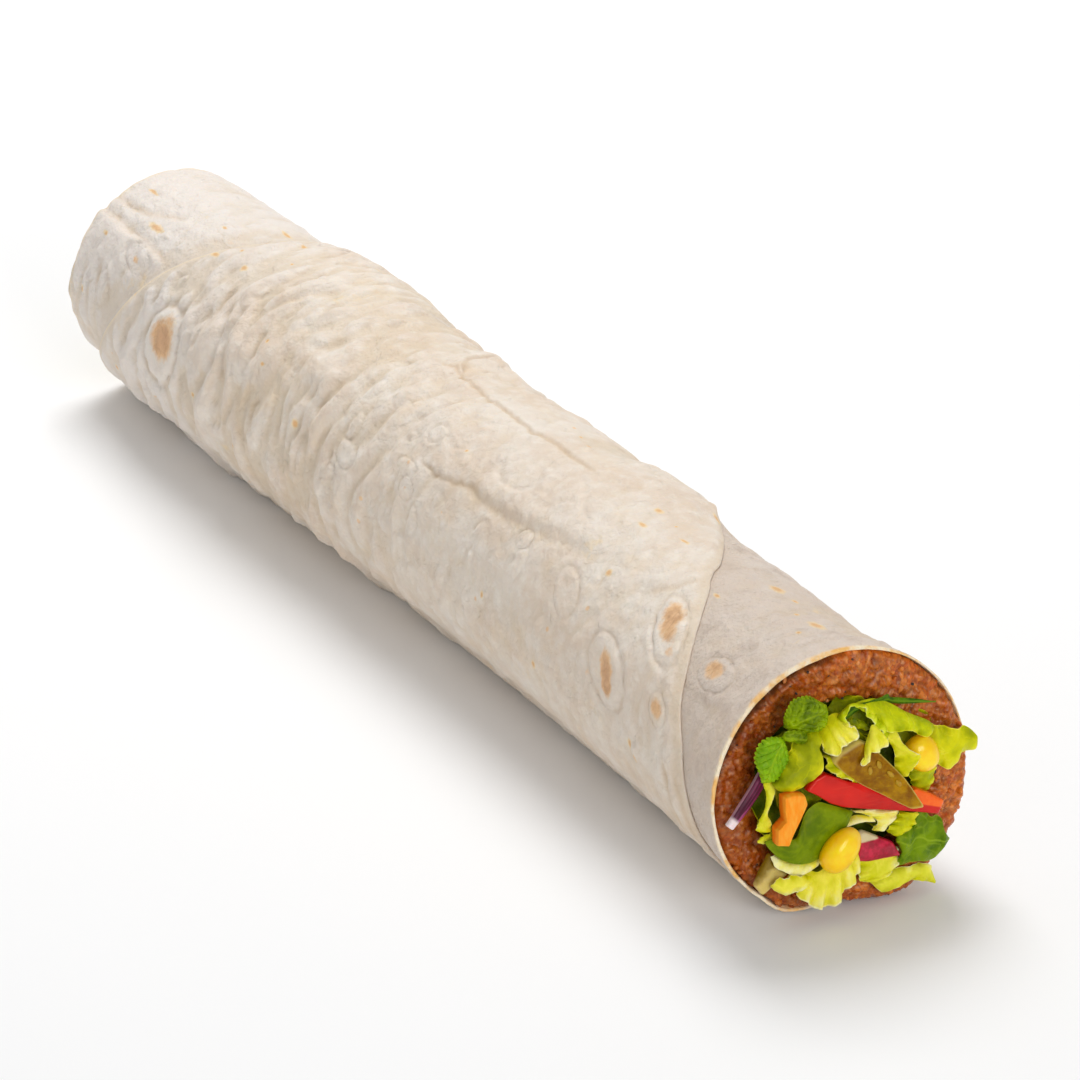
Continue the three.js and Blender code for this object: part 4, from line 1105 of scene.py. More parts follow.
def paste_inside(x, angle):
    """The radius of the bore, seen from the roll's middle."""
    a = np.radians(angle)
    along_ray = BORE[0] * np.cos(a) + BORE[1] * np.sin(a)
    off_ray = BORE[0] * np.sin(a) - BORE[1] * np.cos(a)
    lumps = 0.9 * noise(np.cos(a) * 2.2, np.sin(a) * 2.2, x / 7, seed=60)
    return along_ray + np.sqrt((BORE_RADIUS + lumps) ** 2 - off_ray ** 2)


def to_left(points):
    """How far a point is to the mouth's left, where the paste gets a painted shade, from 0 to 1."""
    return smooth((points - MOUTH) @ SIDE, 4, -20)


def paste_end(angle, share, depth, near):
    """Points on the paste near an end: share goes from outside to inside, depth from the end inward."""
    a = np.radians(angle)
    lumps = 0.5 * layered(np.cos(a) * 3.5, np.sin(a) * 3.5, share * 2.5, seed=61)
    if near:
        spilled = np.maximum(0, np.cos(a - SPILL_ANGLE)) ** 1.5
        sunk = 0.1 + 0.5 * np.cos(a - MOUTH_FACING) + 0.6 * np.maximum(0, np.cos(a - MOUTH_FACING)) ** 3
        x = near_rim(angle) - sunk + 1.9 * spilled + lumps - depth
        past = smooth(x - near_rim(angle), 0.1, 0.9) * smooth(spilled, 0.15, 0.7)
        outside = paste_outside(x, angle) + past * (0.55 + 0.4 * lumps)
    else:
        x = FAR_X + 1.6 + lumps + depth
        outside = paste_outside(x, angle)
    return on_section(x, angle, lerp(outside, paste_inside(x, angle), share))


def scatter_grains(count, near, seed):
    """Middles for grains just under the paste's surface at one end: most on its end face, some in the bore
    and a few outside, by the rim."""
    draw = np.random.default_rng(seed)
    angle = draw.uniform(0, 360, count)
    kind = draw.random(count)
    on_face, outside = kind < 0.62, kind > 0.9
    share = np.where(on_face, draw.uniform(0.05, 0.95, count), 1.0)
    depth = np.where(on_face, 0.1, draw.uniform(0.5, 8.0, count))
    share = np.where(outside, 0.0, share)
    depth = np.where(outside, draw.uniform(0.6, 2.5, count), depth)
    return paste_end(angle, share, depth, near)


def paste_finish(name, light):
    f = Finish(name, Subsurface_Weight=0.25, Subsurface_Scale=0.001, Specular_IOR_Level=0.4, Coat_Weight=0.12,
               Coat_Roughness=0.2, Specular_Tint=(1.0, 0.92, 0.7, 1.0), Subsurface_Radius=(1.0, 0.35, 0.12))
    pick = f.value("grain")
    dark = f.between(f.band(f.noise(0.3, 3, 0.6), 0.35, 0.65), (168, 70, 8), (206, 102, 22))
    base = f.mix(f.band(pick, 0.25, 0.9), dark, colour(218, 124, 40))
    base = f.over(base, f.band(pick, 0.9, 0.97), light, 226, 156, 100)
    base = f.over(base, f.band(f.noise(0.2, 3, 0.6), 0.45, 0.65), 0.6, 126, 48, 8)
    base = f.over(base, f.band(f.noise(0.4, 3, 0.6), 0.48, 0.68), 0.5, 226, 128, 34)
    base = f.over(base, f.band(f.noise(0.7, 2, 0.6), 0.64, 0.74), 0.45, 196, 50, 10)
    gap = f.value("gap")
    # Darker in the crevices between close grains: painted shade.
    base = f.over(base, f.band(gap, 0.3, 0.0), 0.5, 116, 46, 4)
    # Darker where the clumps sink: painted shade in the hollows.
    base = f.over(base, f.band(f.value("low"), 0.05, 0.5), 0.6, 98, 38, 4)
    base = f.over(base, f.band(f.noise(1.6, 2, 0.6), 0.55, 0.75), 0.2, 236, 156, 80)
    # Darker toward the mouth's left: painted shade, as that side lies away from the light.
    base = f.over(base, f.value("browner"), 0.4, 122, 46, 4)
    base = f.over(base, f.value("shade"), 0.85, 80, 48, 28)
    wet = f.range(f.noise(0.8, 3, 0.6), 0.14, 0.4)
    return f.done(base, wet, (f.noise(1.1, 3, 0.6), 0.16), (f.cells(0.75, feature="SMOOTH_F1"), -0.42))


def build_paste():
    near_profile = [(0, d) for d in (12, 7, 5, 3.8, 3, 2.4, 1.9)]
    near_profile += [(0.015, 1.4), (0.04, 0.9), (0.075, 0.5), (0.115, 0.22), (0.155, 0.06)]
    near_profile += [(k, 0.0) for k in np.linspace(0.195, 0.85, 18)]
    near_profile += [(0.89, 0.1), (0.93, 0.3), (0.965, 0.65), (0.99, 1.1), (1, 1.6)]
    near_profile += [(1, d) for d in np.arange(2.1, 8.2, 0.5)] + [(1, 10), (1, 14)]
    far_profile = near_profile[::-1][::2]
    near_profile = [(0, d) for d in (130, 110, 90, 72, 56, 40, 26)] + near_profile
    angle = np.arange(0, 360, 0.72)[:, None]
    parts = []
    for profile, near in ((near_profile, True), (far_profile, False)):
        share, depth = (np.array([p[k] for p in profile])[None, :] for k in (0, 1))
        parts.append(paste_end(angle, share, depth, near))
    points = np.concatenate(parts, axis=1)
    rows, columns = points.shape[:2]
    wrapped = np.concatenate([points[-1:], points, points[:1]])
    outward = unit(np.cross(np.gradient(wrapped, axis=0)[1:-1], np.gradient(points, axis=1)))
    on_near_face = len(near_profile) - 30
    if outward[:, on_near_face, 0].mean() < 0:
        outward = -outward
    middles = np.concatenate([scatter_grains(3000, True, 70), scatter_grains(1500, False, 71)])
    tree = KDTree(len(middles))
    for i, p in enumerate(middles):
        tree.insert(p, i)
    tree.balance()
    first, gap, pick = (np.zeros(rows * columns) for _ in range(3))
    chance = np.random.default_rng(72).random(len(middles))
    for i, p in enumerate(points.reshape(-1, 3)):
        (_, nearest, a), (_, _, b) = tree.find_n(p, 2)
        first[i], gap[i], pick[i] = a, b - a, chance[nearest]
    near_grain = smooth(first, 3.6, 2.0)
    height = near_grain * (0.75 * np.sqrt(np.clip(1 - (first / 1.5) ** 2, 0, 1)) - 0.3 + 0.3 * (pick - 0.5))
    clumps = 0.4 * layered(points[..., 0] / 3.5, points[..., 1] / 3.5, points[..., 2] / 3.5, seed=62)
    clumps += 0.55 * noise(points[..., 0] / 1.6, points[..., 1] / 1.6, points[..., 2] / 1.6, seed=64)
    middle = on_section(points[..., 0], 0, 0)
    around = np.degrees(np.arctan2(points[..., 2] - middle[..., 2], points[..., 1]))
    radius = np.hypot(points[..., 1], points[..., 2] - middle[..., 2])
    inset = paste_outside(points[..., 0], around % 360) - radius
    beside = smooth(turn_from(around, SHADE_ANGLE), 54, 30) * smooth(points[..., 0], 100, 120)
    shade = beside * smooth(inset + 0.5 * noise(around / 4, inset, seed=65), 1.2, 0.3)
    # Against the bread the grains stand out only by the rim and where the gap leaves them room.
    by_rim = smooth(np.array([p[1] for p in near_profile + far_profile]), 1.6, 0.6)
    wall = np.array([p[0] for p in near_profile + far_profile]) < 0.02
    roomy = smooth(turn_from(around, GAP_ANGLE), 44, 26) * smooth(points[..., 0], 100, 120)
    free = np.where(wall, np.maximum(by_rim, roomy), 1)
    points = points + outward * (free * (height.reshape(rows, columns) + clumps))[..., None]
    faces = [face[::-1] for face in grid_faces(rows, columns, closed=True, looped=True)]
    shape = Shape()
    shape.add(points, faces, grain=pick, gap=gap, low=-clumps.ravel(), shade=shade.ravel(),
              browner=to_left(points).ravel())
    shape.build("kofte_paste", paste_finish("kofte_paste", 0.5), "bulgur_paste", ["kofte_lining"])
    loose = Shape()
    specks = Shape()
    draw = np.random.default_rng(73)
    for near, count, speck_count, seed in ((True, 120, 46, 74), (False, 80, 24, 75)):
        way_out = 1 if near else -1
        for p in scatter_grains(count, near, seed):
            q = np.linalg.qr(unit(draw.normal(size=(3, 3))))[0]
            size = draw.uniform(0.4, 0.72)
            lengths = np.array([size * draw.uniform(*ends) for ends in GRAIN_LENGTHS])
            ball(loose, p + (way_out * 0.1, 0, 0), q * lengths[:, None], grain=draw.random(), gap=1.0,
                 low=0.0, shade=0.0, browner=float(to_left(p)))
        for p in scatter_grains(speck_count, near, seed + 10):
            q = np.linalg.qr(draw.normal(size=(3, 3)))[0]
            size = draw.uniform(0.22, 0.5)
            ball(specks, p + (way_out * 0.42, 0, 0), q * size * np.array([[1.0], [0.8], [0.5]]))
    loose.build("kofte_grains", paste_finish("kofte_grains", 0.8), "bulgur_paste")
    f = Finish("pepper_specks")
    dark = f.between(f.noise(1.5, 3), (34, 28, 26), (66, 48, 40))
    specks.build("kofte_pepper_specks", f.done(dark, 0.5, (f.noise(3, 2), 0.05)), "bulgur_paste")


# ---------------------------------------------------------------- lettuce

def lettuce_finish():
    f = Finish("lettuce", Subsurface_Weight=0.25, Subsurface_Scale=0.001, Specular_IOR_Level=0.2,
               Subsurface_Radius=(0.7, 1.0, 0.25), Specular_Tint=WARM_GLOSS)
    blade = f.value("blade", vector=True)
    tone = f.plus(f.value("tone"), f.times(f.minus(f.noise(0.25, 3, 0.6), 0.5), 0.5))
    tone = f.plus(tone, f.times(f.band(f.value("margin"), 0.92, 0.99), 0.22))
    # Raised folds paler and sunk ones darker: painted light and shade from the folds.
    tone = f.plus(tone, f.times(f.value("hollow"), 0.1))
    wander = f.shifted(f.stretch(blade, (0.4, 1, 0)), f.times(f.noise(0.6, 2), 1.6))
    web = f.cells(0.42, feature="DISTANCE_TO_EDGE", vector=wander)
    veins = f.times(f.band(web, 0.08, 0.0), f.band(f.noise(0.4, 2), 0.4, 0.6))
    tone = f.plus(tone, f.times(veins, 0.06))
    ramp = f.tree.nodes.new("ShaderNodeValToRGB")
    stops = ((0.0, colour(26, 44, 0)), (0.2, colour(86, 102, 0)), (0.4, colour(162, 166, 0)),
             (0.6, colour(218, 212, 10)), (0.8, colour(248, 236, 82)), (1.0, colour(254, 246, 180)))
    while len(ramp.color_ramp.elements) < len(stops):
        ramp.color_ramp.elements.new(0.5)
    for element, (place, tint) in zip(ramp.color_ramp.elements, stops):
        element.position = place
        element.color = tint
    f.join(ramp.inputs["Fac"], tone)
    base = f.mix(f.value("fresh"), ramp.outputs["Color"], (0.74, 0.98, 0.5, 1.0), "MULTIPLY")
    return f.done(base, f.range(f.noise(0.5, 2), 0.3, 0.5), (veins, 0.05), (f.noise(1.2, 3, 0.6), 0.14))


# Low leaves that fill the salad between the ones that show, each along a spine in the mouth's frame.
DEEP_LETTUCE = (
    dict(spine=((0.0, 16.0, -2.0), (3.2, 13.4, 1.2), (6.0, 9.0, 1.8)), width=4.2, facing=(0.1, 0.1, 1),
        waves=2.2, tone=0.3),
    dict(spine=((-3.0, 11.0, -2.0), (1.0, 7.6, 2.6), (7.4, 6.6, 3.0)), width=4.0, facing=(0, 0.2, 1),
        waves=2.2, tone=0.28),
    dict(spine=((-17.0, 2.0, -2.0), (-15.0, -4.0, 1.0), (-14.0, -9.4, 1.6)), width=4.4, facing=(0.2, 0, 1),
        waves=2.4, tone=0.2),
    dict(spine=((12.0, 12.0, -2.0), (17.2, 5.4, 1.0), (18.0, -3.6, 1.4)), width=4.6, facing=(0, 0.1, 1),
        waves=2.2, tone=0.34),
    dict(spine=((2.0, -6.0, -2.0), (12.0, -8.0, 1.4), (18.6, -13.0, 1.4)), width=5.2, facing=(0, 0, 1),
        waves=2.2, tone=0.3),
    dict(spine=((-8.0, -8.0, -2.0), (-3.0, -14.0, 1.4), (4.0, -19.4, 1.6)), width=6.0, facing=(0, 0, 1),
        waves=2.4, tone=0.32),
    dict(spine=((-12.0, 12.0, -2.0), (-10.0, 2.0, 1.6), (-8.0, -6.0, 1.6)), width=5.4, facing=(0, 0, 1),
        waves=2.2, tone=0.3),
)
# The leaves that show, each between two lines in the mouth's frame.
LETTUCE = (
    # the pale lobe at the upper left
    dict(first=((-5.9, 12.2, 2.5), (-3.4, 15.4, 2.5), (-1.4, 15.9, 2.5), (-0.3, 15.3, 3.0)),
        second=((-5.7, 11.5, 4.2), (-5.5, 9.8, 5.5), (-3.6, 8.6, 6.2), (-1.9, 8.7, 6.0), (-1.7, 10.0, 5.6),
            (0.2, 10.6, 6.2), (1.5, 11.9, 6.6), (1.0, 13.5, 6.4), (-0.3, 15.3, 6.0)),
        tone=0.66, fresh=0.15, folds=4.5, fold=0.7),
    # the arching band over the hollow
    dict(first=((-1.4, 15.3, 2.5), (0.1, 15.9, 2.5), (2.1, 16.8, 2.8), (4.5, 16.4, 2.8), (7.0, 13.8, 3.0),
            (9.0, 10.5, 3.2)),
        second=((-0.3, 15.0, 6.0), (-0.7, 16.4, 5.6), (0.3, 17.4, 5.2), (1.8, 17.7, 5.0), (3.1, 17.1, 5.2),
            (4.1, 15.6, 5.8), (4.9, 13.4, 6.4), (6.4, 11.6, 6.6), (7.5, 9.8, 6.8)),
        tone=0.5, fresh=0.7, bulge=1.0, folds=5, fold=0.6),
    # the pale lobe that hangs to the middle
    dict(first=((6.4, 11.6, 6.4), (4.9, 13.4, 6.2), (4.2, 11.4, 6.0), (3.2, 9.6, 6.4), (2.8, 8.4, 6.8)),
        second=((7.5, 9.8, 6.8), (7.5, 8.7, 7.0), (5.7, 8.0, 7.4), (3.6, 8.0, 7.6), (3.2, 7.1, 7.8),
            (2.0, 5.7, 7.8), (1.1, 6.5, 7.6)),
        tone=0.72, fresh=0.15, folds=3, fold=0.6),
    # the band at the upper right
    dict(first=((1.8, 17.0, 3.0), (3.6, 17.6, 3.4), (6.6, 17.7, 3.8), (9.9, 16.0, 4.2), (13.2, 13.4, 4.6),
            (17.6, 10.7, 4.8), (18.7, 9.6, 5.2)),
        second=((4.6, 15.6, 4.6), (6.3, 14.1, 5.0), (8.1, 11.1, 5.6), (10.4, 10.3, 6.0), (12.8, 10.2, 6.2),
            (14.2, 9.6, 6.4), (16.8, 7.9, 6.4), (18.7, 8.8, 6.0)),
        tone=0.5, fresh=0.5, folds=3.5, bulge=1.0, shade=0.1),
    # the leaf that stands out past the bread at the right
    dict(first=((18.3, 10.0, 3.6), (21.2, 8.3, 4.0), (25.4, 6.8, 4.2), (26.7, 6.9, 4.2), (28.8, 5.1, 4.0),
            (29.6, 3.1, 3.8)),
        second=((17.5, 2.0, 3.4), (19.6, 1.4, 4.0), (20.0, 0.5, 4.2), (22.4, -1.3, 4.4), (24.0, -0.5, 4.4),
            (26.1, 1.0, 4.2), (28.9, 1.4, 3.8), (29.6, 3.1, 3.8)),
        tone=0.54, fresh=0.15, both=True, shade=0.15, folds=2.5, fold=0.6),
    # beside and under the upper kernel
    dict(first=((7.9, 10.2, 5.6), (7.9, 9.7, 6.2), (9.3, 7.2, 6.4), (9.7, 4.8, 6.2), (9.9, 2.6, 5.6),
            (11.0, 0.5, 5.0)),
        second=((10.6, 10.3, 5.6), (10.8, 8.6, 7.2), (11.6, 7.4, 8.6), (13.2, 6.4, 9.4), (13.8, 5.2, 9.4),
            (12.6, 3.4, 8.8), (12.1, 0.7, 7.0)),
        tone=0.66, fresh=0.15, both=True, bulge=0.3, fold=0.35, shade=0.1),
    dict(first=((12.6, 1.0, 3.6), (14.0, -1.2, 3.8), (15.0, -3.6, 3.8), (16.8, -4.6, 4.0)),
        second=((17.6, 2.0, 3.8), (19.6, 0.6, 4.4), (19.4, -2.3, 4.4), (18.4, -4.9, 4.0)),
        tone=0.44, both=True),
    # behind the pickle
    dict(first=((-3.4, 7.3, 3.0), (-1.3, 5.1, 3.6), (0.8, 2.8, 4.2), (3.5, 0.1, 4.6)),
        second=((-5.2, 8.2, 4.0), (-4.9, 7.1, 5.2), (-5.0, 5.9, 5.8), (-3.5, 4.3, 6.2), (-1.4, 3.2, 6.4),
            (1.2, 1.2, 6.2)),
        tone=0.5, bulge=0.4),
    # the smooth leaf at the left
    dict(first=((-8.0, 14.1, 2.5), (-11.0, 13.3, 3.5), (-12.6, 11.5, 4.0), (-14.0, 9.0, 4.2),
            (-15.2, 6.8, 4.0), (-16.6, 5.0, 3.8)),
        second=((-6.3, 13.6, 3.0), (-6.1, 12.5, 5.0), (-7.0, 11.0, 6.2), (-6.5, 9.0, 6.4), (-6.6, 6.7, 6.2),
            (-8.0, 5.1, 6.2), (-10.7, 3.8, 6.0), (-14.0, 3.3, 5.6), (-15.9, 3.8, 5.0), (-16.8, 5.0, 4.0)),
        tone=0.4, fresh=0.1, both=True, bulge=1.4, fold=0.35, pucker=0.06, shade=0.1),
    # the ruffled strip at the left
    dict(first=((-18.1, 5.5, 2.2), (-18.1, 4.7, 2.6), (-17.7, 2.9, 3.2), (-18.2, 0.0, 3.6),
            (-19.8, -2.3, 4.0), (-20.7, -4.0, 4.2), (-19.7, -4.6, 4.6)),
        second=((-15.6, 5.0, 3.0), (-16.1, 3.1, 4.0), (-17.1, 1.1, 4.4), (-18.1, -1.1, 4.4),
            (-17.5, -3.0, 4.4), (-17.3, -5.1, 4.6)),
        tone=0.68, both=True, bulge=0.5, folds=4, fold=0.3),
    dict(first=((-20.1, -6.9, 3.4), (-19.0, -6.0, 3.8), (-17.1, -5.3, 4.4)),
        second=((-20.0, -7.3, 3.4), (-18.9, -7.7, 3.8), (-17.3, -7.1, 4.2)),
        tone=0.7, both=True, bulge=0.3, columns=40),
    # the fan at the bottom and its curled left part
    dict(first=((-13.5, -15.8, 4.0), (-9.8, -15.6, 4.2), (-7.8, -16.5, 4.6), (-5.7, -15.6, 5.0),
            (-3.2, -14.8, 5.0), (-1.1, -13.6, 4.8), (1.6, -12.6, 4.6)),
        second=((-17.7, -17.0, 4.4), (-15.8, -19.2, 4.8), (-12.7, -19.2, 5.2), (-12.0, -21.0, 5.4),
            (-10.6, -21.9, 5.4), (-9.1, -23.7, 5.2), (-6.2, -24.4, 5.4), (-3.3, -23.6, 5.8),
            (-2.0, -20.8, 6.2), (0.2, -20.3, 6.4), (0.0, -18.8, 6.2), (1.3, -17.2, 6.0), (0.8, -15.6, 5.6)),
        tone=0.76, fresh=0.1, folds=7, fold=0.75, fine=0.25, shade=0.1, columns=150),
    dict(first=((-17.9, -16.9, 4.4), (-17.4, -15.6, 5.4), (-15.6, -15.2, 5.8), (-12.6, -15.5, 5.8),
            (-9.6, -16.4, 5.4)),
        second=((-17.7, -17.2, 4.4), (-15.8, -19.2, 4.8), (-12.9, -19.0, 5.4), (-11.2, -18.8, 5.6),
            (-9.6, -18.4, 5.2)),
        tone=0.76, fresh=0.1, both=True, bulge=1.1),
    # the cream ruffle under the spinach, and the fold to its right
    dict(first=((-16.0, -11.1, 3.0), (-12.5, -13.1, 3.8), (-7.7, -13.2, 4.2), (-4.6, -10.6, 4.2),
            (-1.0, -8.0, 4.2), (1.2, -6.7, 4.0), (4.9, -7.6, 4.0)),
        second=((-17.5, -10.9, 3.8), (-17.2, -12.6, 4.6), (-15.2, -14.3, 5.0), (-12.8, -15.7, 5.2),
            (-10.4, -15.6, 5.4), (-8.1, -14.7, 5.6), (-7.0, -13.1, 5.6), (-5.3, -10.4, 5.4),
            (-2.7, -8.3, 5.4), (-0.2, -7.8, 5.4), (3.0, -7.9, 5.2), (5.6, -8.6, 5.0)),
        tone=0.88, fresh=0.1, folds=7, fold=0.4, columns=140),
    dict(first=((1.0, -5.5, 3.4), (2.3, -6.2, 3.8), (4.8, -7.4, 4.2), (6.2, -9.0, 4.6), (4.8, -10.2, 5.0)),
        second=((5.2, -6.0, 4.0), (8.5, -7.0, 4.2), (11.3, -7.9, 4.4), (9.4, -9.4, 5.0), (7.3, -10.9, 5.4)),
        tone=0.88, fresh=0.1, both=True),
    # beside the rocket, under the radish and at the lower right
    dict(first=((11.6, -8.4, 3.8), (9.6, -9.7, 4.2), (8.5, -11.5, 4.6), (10.3, -13.0, 5.0)),
        second=((15.9, -9.3, 4.2), (15.4, -11.3, 4.6), (12.6, -12.7, 5.0), (10.6, -13.2, 5.0)),
        tone=0.55, both=True, folds=4),
    dict(first=((1.6, -15.6, 4.0), (1.6, -20.3, 4.8), (3.4, -21.2, 5.2), (6.1, -21.2, 5.4)),
        second=((10.8, -15.9, 4.0), (10.8, -16.7, 4.4), (10.6, -18.9, 4.8), (9.0, -20.3, 5.2),
            (6.3, -21.4, 5.4)),
        tone=0.72, both=True),
    dict(first=((4.7, -22.3, 3.6), (6.4, -24.3, 4.6), (7.8, -24.9, 4.8), (11.5, -24.1, 4.6),
            (14.8, -24.2, 4.2), (19.5, -26.4, 3.4)),
        second=((6.0, -21.6, 3.6), (10.0, -20.7, 3.8), (17.4, -21.3, 3.8), (18.7, -23.2, 3.8),
            (19.6, -26.0, 3.4)),
        tone=0.68, both=True, shade=0.1),
    # in the hollow under the arch
    dict(first=((0.9, 14.1, 3.2), (2.0, 14.5, 3.6), (3.8, 13.6, 3.8), (5.7, 11.7, 3.6)),
        second=((1.4, 12.6, 2.6), (2.7, 12.1, 3.0), (4.6, 11.2, 3.2), (5.9, 11.0, 3.2)),
        tone=0.35, both=True, columns=50),
)
# How many leaves show at the far end.
FAR_LEAVES = 12


def build_salad():
    core = Shape()
    angle = np.arange(0, 360, 3.0)[:, None]
    a = np.radians(angle)
    stations = [(k, 1) for k in np.linspace(0.02, 0.97, 22)]
    stations += [(1, x) for x in np.linspace(1, 0, 12)]
    stations += [(k, 0) for k in np.linspace(0.97, 0.02, 22)]
    share = np.array([s for s, _ in stations])[None, :]
    way = np.array([w for _, w in stations], float)[None, :]
    dome = 2.6 * (1 - share ** 2)
    x = lerp(FAR_X + 4.5 - dome, near_rim(angle) - 3.4 + dome, way)
    crumple = layered(np.cos(a) * share * 5, np.sin(a) * share * 5, way * 3, seed=80)
    x = x + np.where(way > 0.5, 1.8, -1.5) * crumple * (np.abs(way - 0.5) > 0.49)
    reach = (paste_inside(x, angle) + 0.4) * share
    points = on_section(x, angle, reach * (1 + 0.04 * crumple * share))
    rows, columns = points.shape[:2]
    faces = [[i * columns + j, (i + 1) % rows * columns + j, (i + 1) % rows * columns + j + 1,
              i * columns + j + 1] for i in range(rows) for j in range(columns - 1)]
    faces += [[i * columns for i in range(rows)][::-1], [i * columns + columns - 1 for i in range(rows)]]
    # The core's very dark tone is painted shade, for the deep salad in the bore's shadow.
    core.add(points, faces, blade=points.reshape(-1, 3), margin=0.0, tone=0.12, fresh=0.3,
             hollow=crumple.ravel())
    finish = lettuce_finish()
    core.build("salad_core", finish, "lettuce", ["salad"])
    leaves = Shape()
    for i, item in enumerate(DEEP_LETTUCE):
        leaf(leaves, seed=100 + 7 * i, **item)
    for i, item in enumerate(LETTUCE):
        frill(leaves, seed=200 + 7 * i, **item)
    draw = np.random.default_rng(90)
    far_leaves = Shape()
    for i in range(FAR_LEAVES):
        turn = 2 * math.pi * i / FAR_LEAVES + draw.uniform(-0.2, 0.2)
        ring = np.array([math.cos(turn), math.sin(turn)])
        middle = ring * draw.uniform(4, 15) + BORE
        half = np.array([-ring[1], ring[0]]) * 7
        spine = [[*(middle - half), -3.0], [*middle, 0.6], [*(middle + half), 0.2]]
        leaf(far_leaves, spine, draw.uniform(4, 5.5), (*(ring * 0.4), 1), waves=2.4, depth=1.0,
             tone=draw.uniform(0.3, 0.75), rows=44, columns=28, seed=300 + i)
    # The leaves were made at the mouth; here they turn round to the far end.
    centre = np.array([FAR_X + 1.2, 0, axis_height(FAR_X)])
    for i, p in enumerate(far_leaves.points):
        right, up, out = MOUTH_AXES @ (p - MOUTH).T
        far_leaves.points[i] = centre + np.stack([-out, -right, up], -1)
    leaves.build("lettuce_leaves", finish, "lettuce")
    far_leaves.build("lettuce_leaves_far_end", finish, "lettuce")


# ---------------------------------------------------------------- toppings

def set_in_place(shape, name, finish, slot, node):
    """Builds a piece that stands for a CAD solid, moved so that its box has the middle of the solid's box."""
    low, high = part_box(node)
    shape.move(np.array((low + high) / 2) / MM - shape.middle())
    shape.build(name, finish, slot, [node])


def green_finish(name, deep, bright, vein, gloss, veins_per_mm=0.4, midrib=1.0, puffed=0.0):
    """A leaf's surface. midrib is how clear that is, and puffed how far it rises between veins, in mm."""
    f = Finish(name, Subsurface_Weight=0.15, Subsurface_Scale=0.001, Specular_IOR_Level=0.2,
               Subsurface_Radius=(0.7, 1.0, 0.15), Specular_Tint=WARM_GLOSS)
    blade = f.value("blade", vector=True)
    base = f.between(f.band(f.noise(0.22, 3, 0.6), 0.35, 0.65), deep, bright)
    # Raised parts of the blade painted brighter: painted light from the blade's folds.
    base = f.over(base, f.band(f.value("hollow"), 0.0, 0.5), 0.35, *bright)
    base = f.over(base, f.band(f.value("tone"), 0.66, 0.9), 0.5, 134, 196, 24)
    web = f.cells(veins_per_mm, feature="DISTANCE_TO_EDGE", vector=f.stretch(blade, (0.8, 1, 0)))
    side = f.calc("ABSOLUTE", f.split(blade, "Y"))
    rib = f.times(f.band(side, 0.32, 0.12), midrib)
    lines = f.calc("MAXIMUM", f.times(f.band(web, 0.07, 0.0), 0.4), rib)
    base = f.over(base, lines, 0.6, *vein)
    base = f.over(base, f.band(f.value("margin"), 0.93, 1.0), 0.35, *vein)
    puffs = f.cells(1.5 * veins_per_mm, feature="SMOOTH_F1", vector=f.stretch(blade, (0.9, 1, 0)))
    return f.done(base, f.range(f.noise(0.6, 2), gloss, gloss + 0.15), (lines, -0.06),
                  (f.noise(1.8, 3, 0.6), 0.1), (puffs, -puffed))


# The blades of each kind of leaf, given as LETTUCE's are.
MINT = (
    dict(first=((-13.5, 16.9, 4.8), (-13.7, 18.5, 5.0), (-13.4, 20.6, 5.6), (-12.4, 22.6, 6.2),
            (-10.3, 23.1, 6.4), (-8.5, 22.7, 6.2), (-6.5, 21.1, 5.8), (-4.6, 19.5, 5.4)),
        second=((-13.5, 16.9, 4.8), (-12.3, 15.8, 5.0), (-10.0, 14.3, 5.4), (-7.8, 14.2, 5.8),
            (-5.2, 15.2, 5.8), (-4.5, 16.9, 5.6), (-4.6, 19.5, 5.4)),
        bulge=1.0, folds=1.5, fold=0.15, fine=0.05, pucker=0.04, teeth=(17, 0.5), quilt=(8, 0.26), rows=60,
        columns=150, thick=0.5, seed=401),
    dict(first=((-14.6, 15.2, 5.8), (-17.9, 16.0, 6.0), (-19.5, 15.0, 5.8), (-20.3, 13.0, 5.4),
            (-20.5, 11.1, 5.4), (-19.9, 9.1, 5.6), (-19.4, 6.6, 5.8)),
        second=((-14.6, 15.2, 5.8), (-13.9, 12.2, 6.2), (-13.9, 9.9, 6.4), (-15.3, 7.8, 6.4),
            (-17.2, 6.6, 6.2), (-19.4, 6.6, 5.8)),
        bulge=1.2, folds=1.5, fold=0.15, fine=0.05, pucker=0.04, teeth=(14, 0.6), quilt=(7, 0.3), rows=60,
        columns=130, thick=0.5, tone=0.95, seed=402),
    dict(first=((-14.8, 16.0, 6.6), (-14.3, 16.9, 7.0), (-12.4, 16.7, 7.2), (-10.2, 15.7, 7.2),
            (-10.0, 14.6, 7.2)),
        second=((-14.8, 15.6, 6.4), (-14.3, 14.8, 6.4), (-12.7, 14.1, 6.6), (-10.6, 13.3, 6.8),
            (-10.0, 14.3, 7.0)),
        bulge=1.3, folds=1, fold=0.1, fine=0.03, pucker=0.04, teeth=(6, 0.3), quilt=(5, 0.2), rows=40,
        columns=60, seed=403),
)
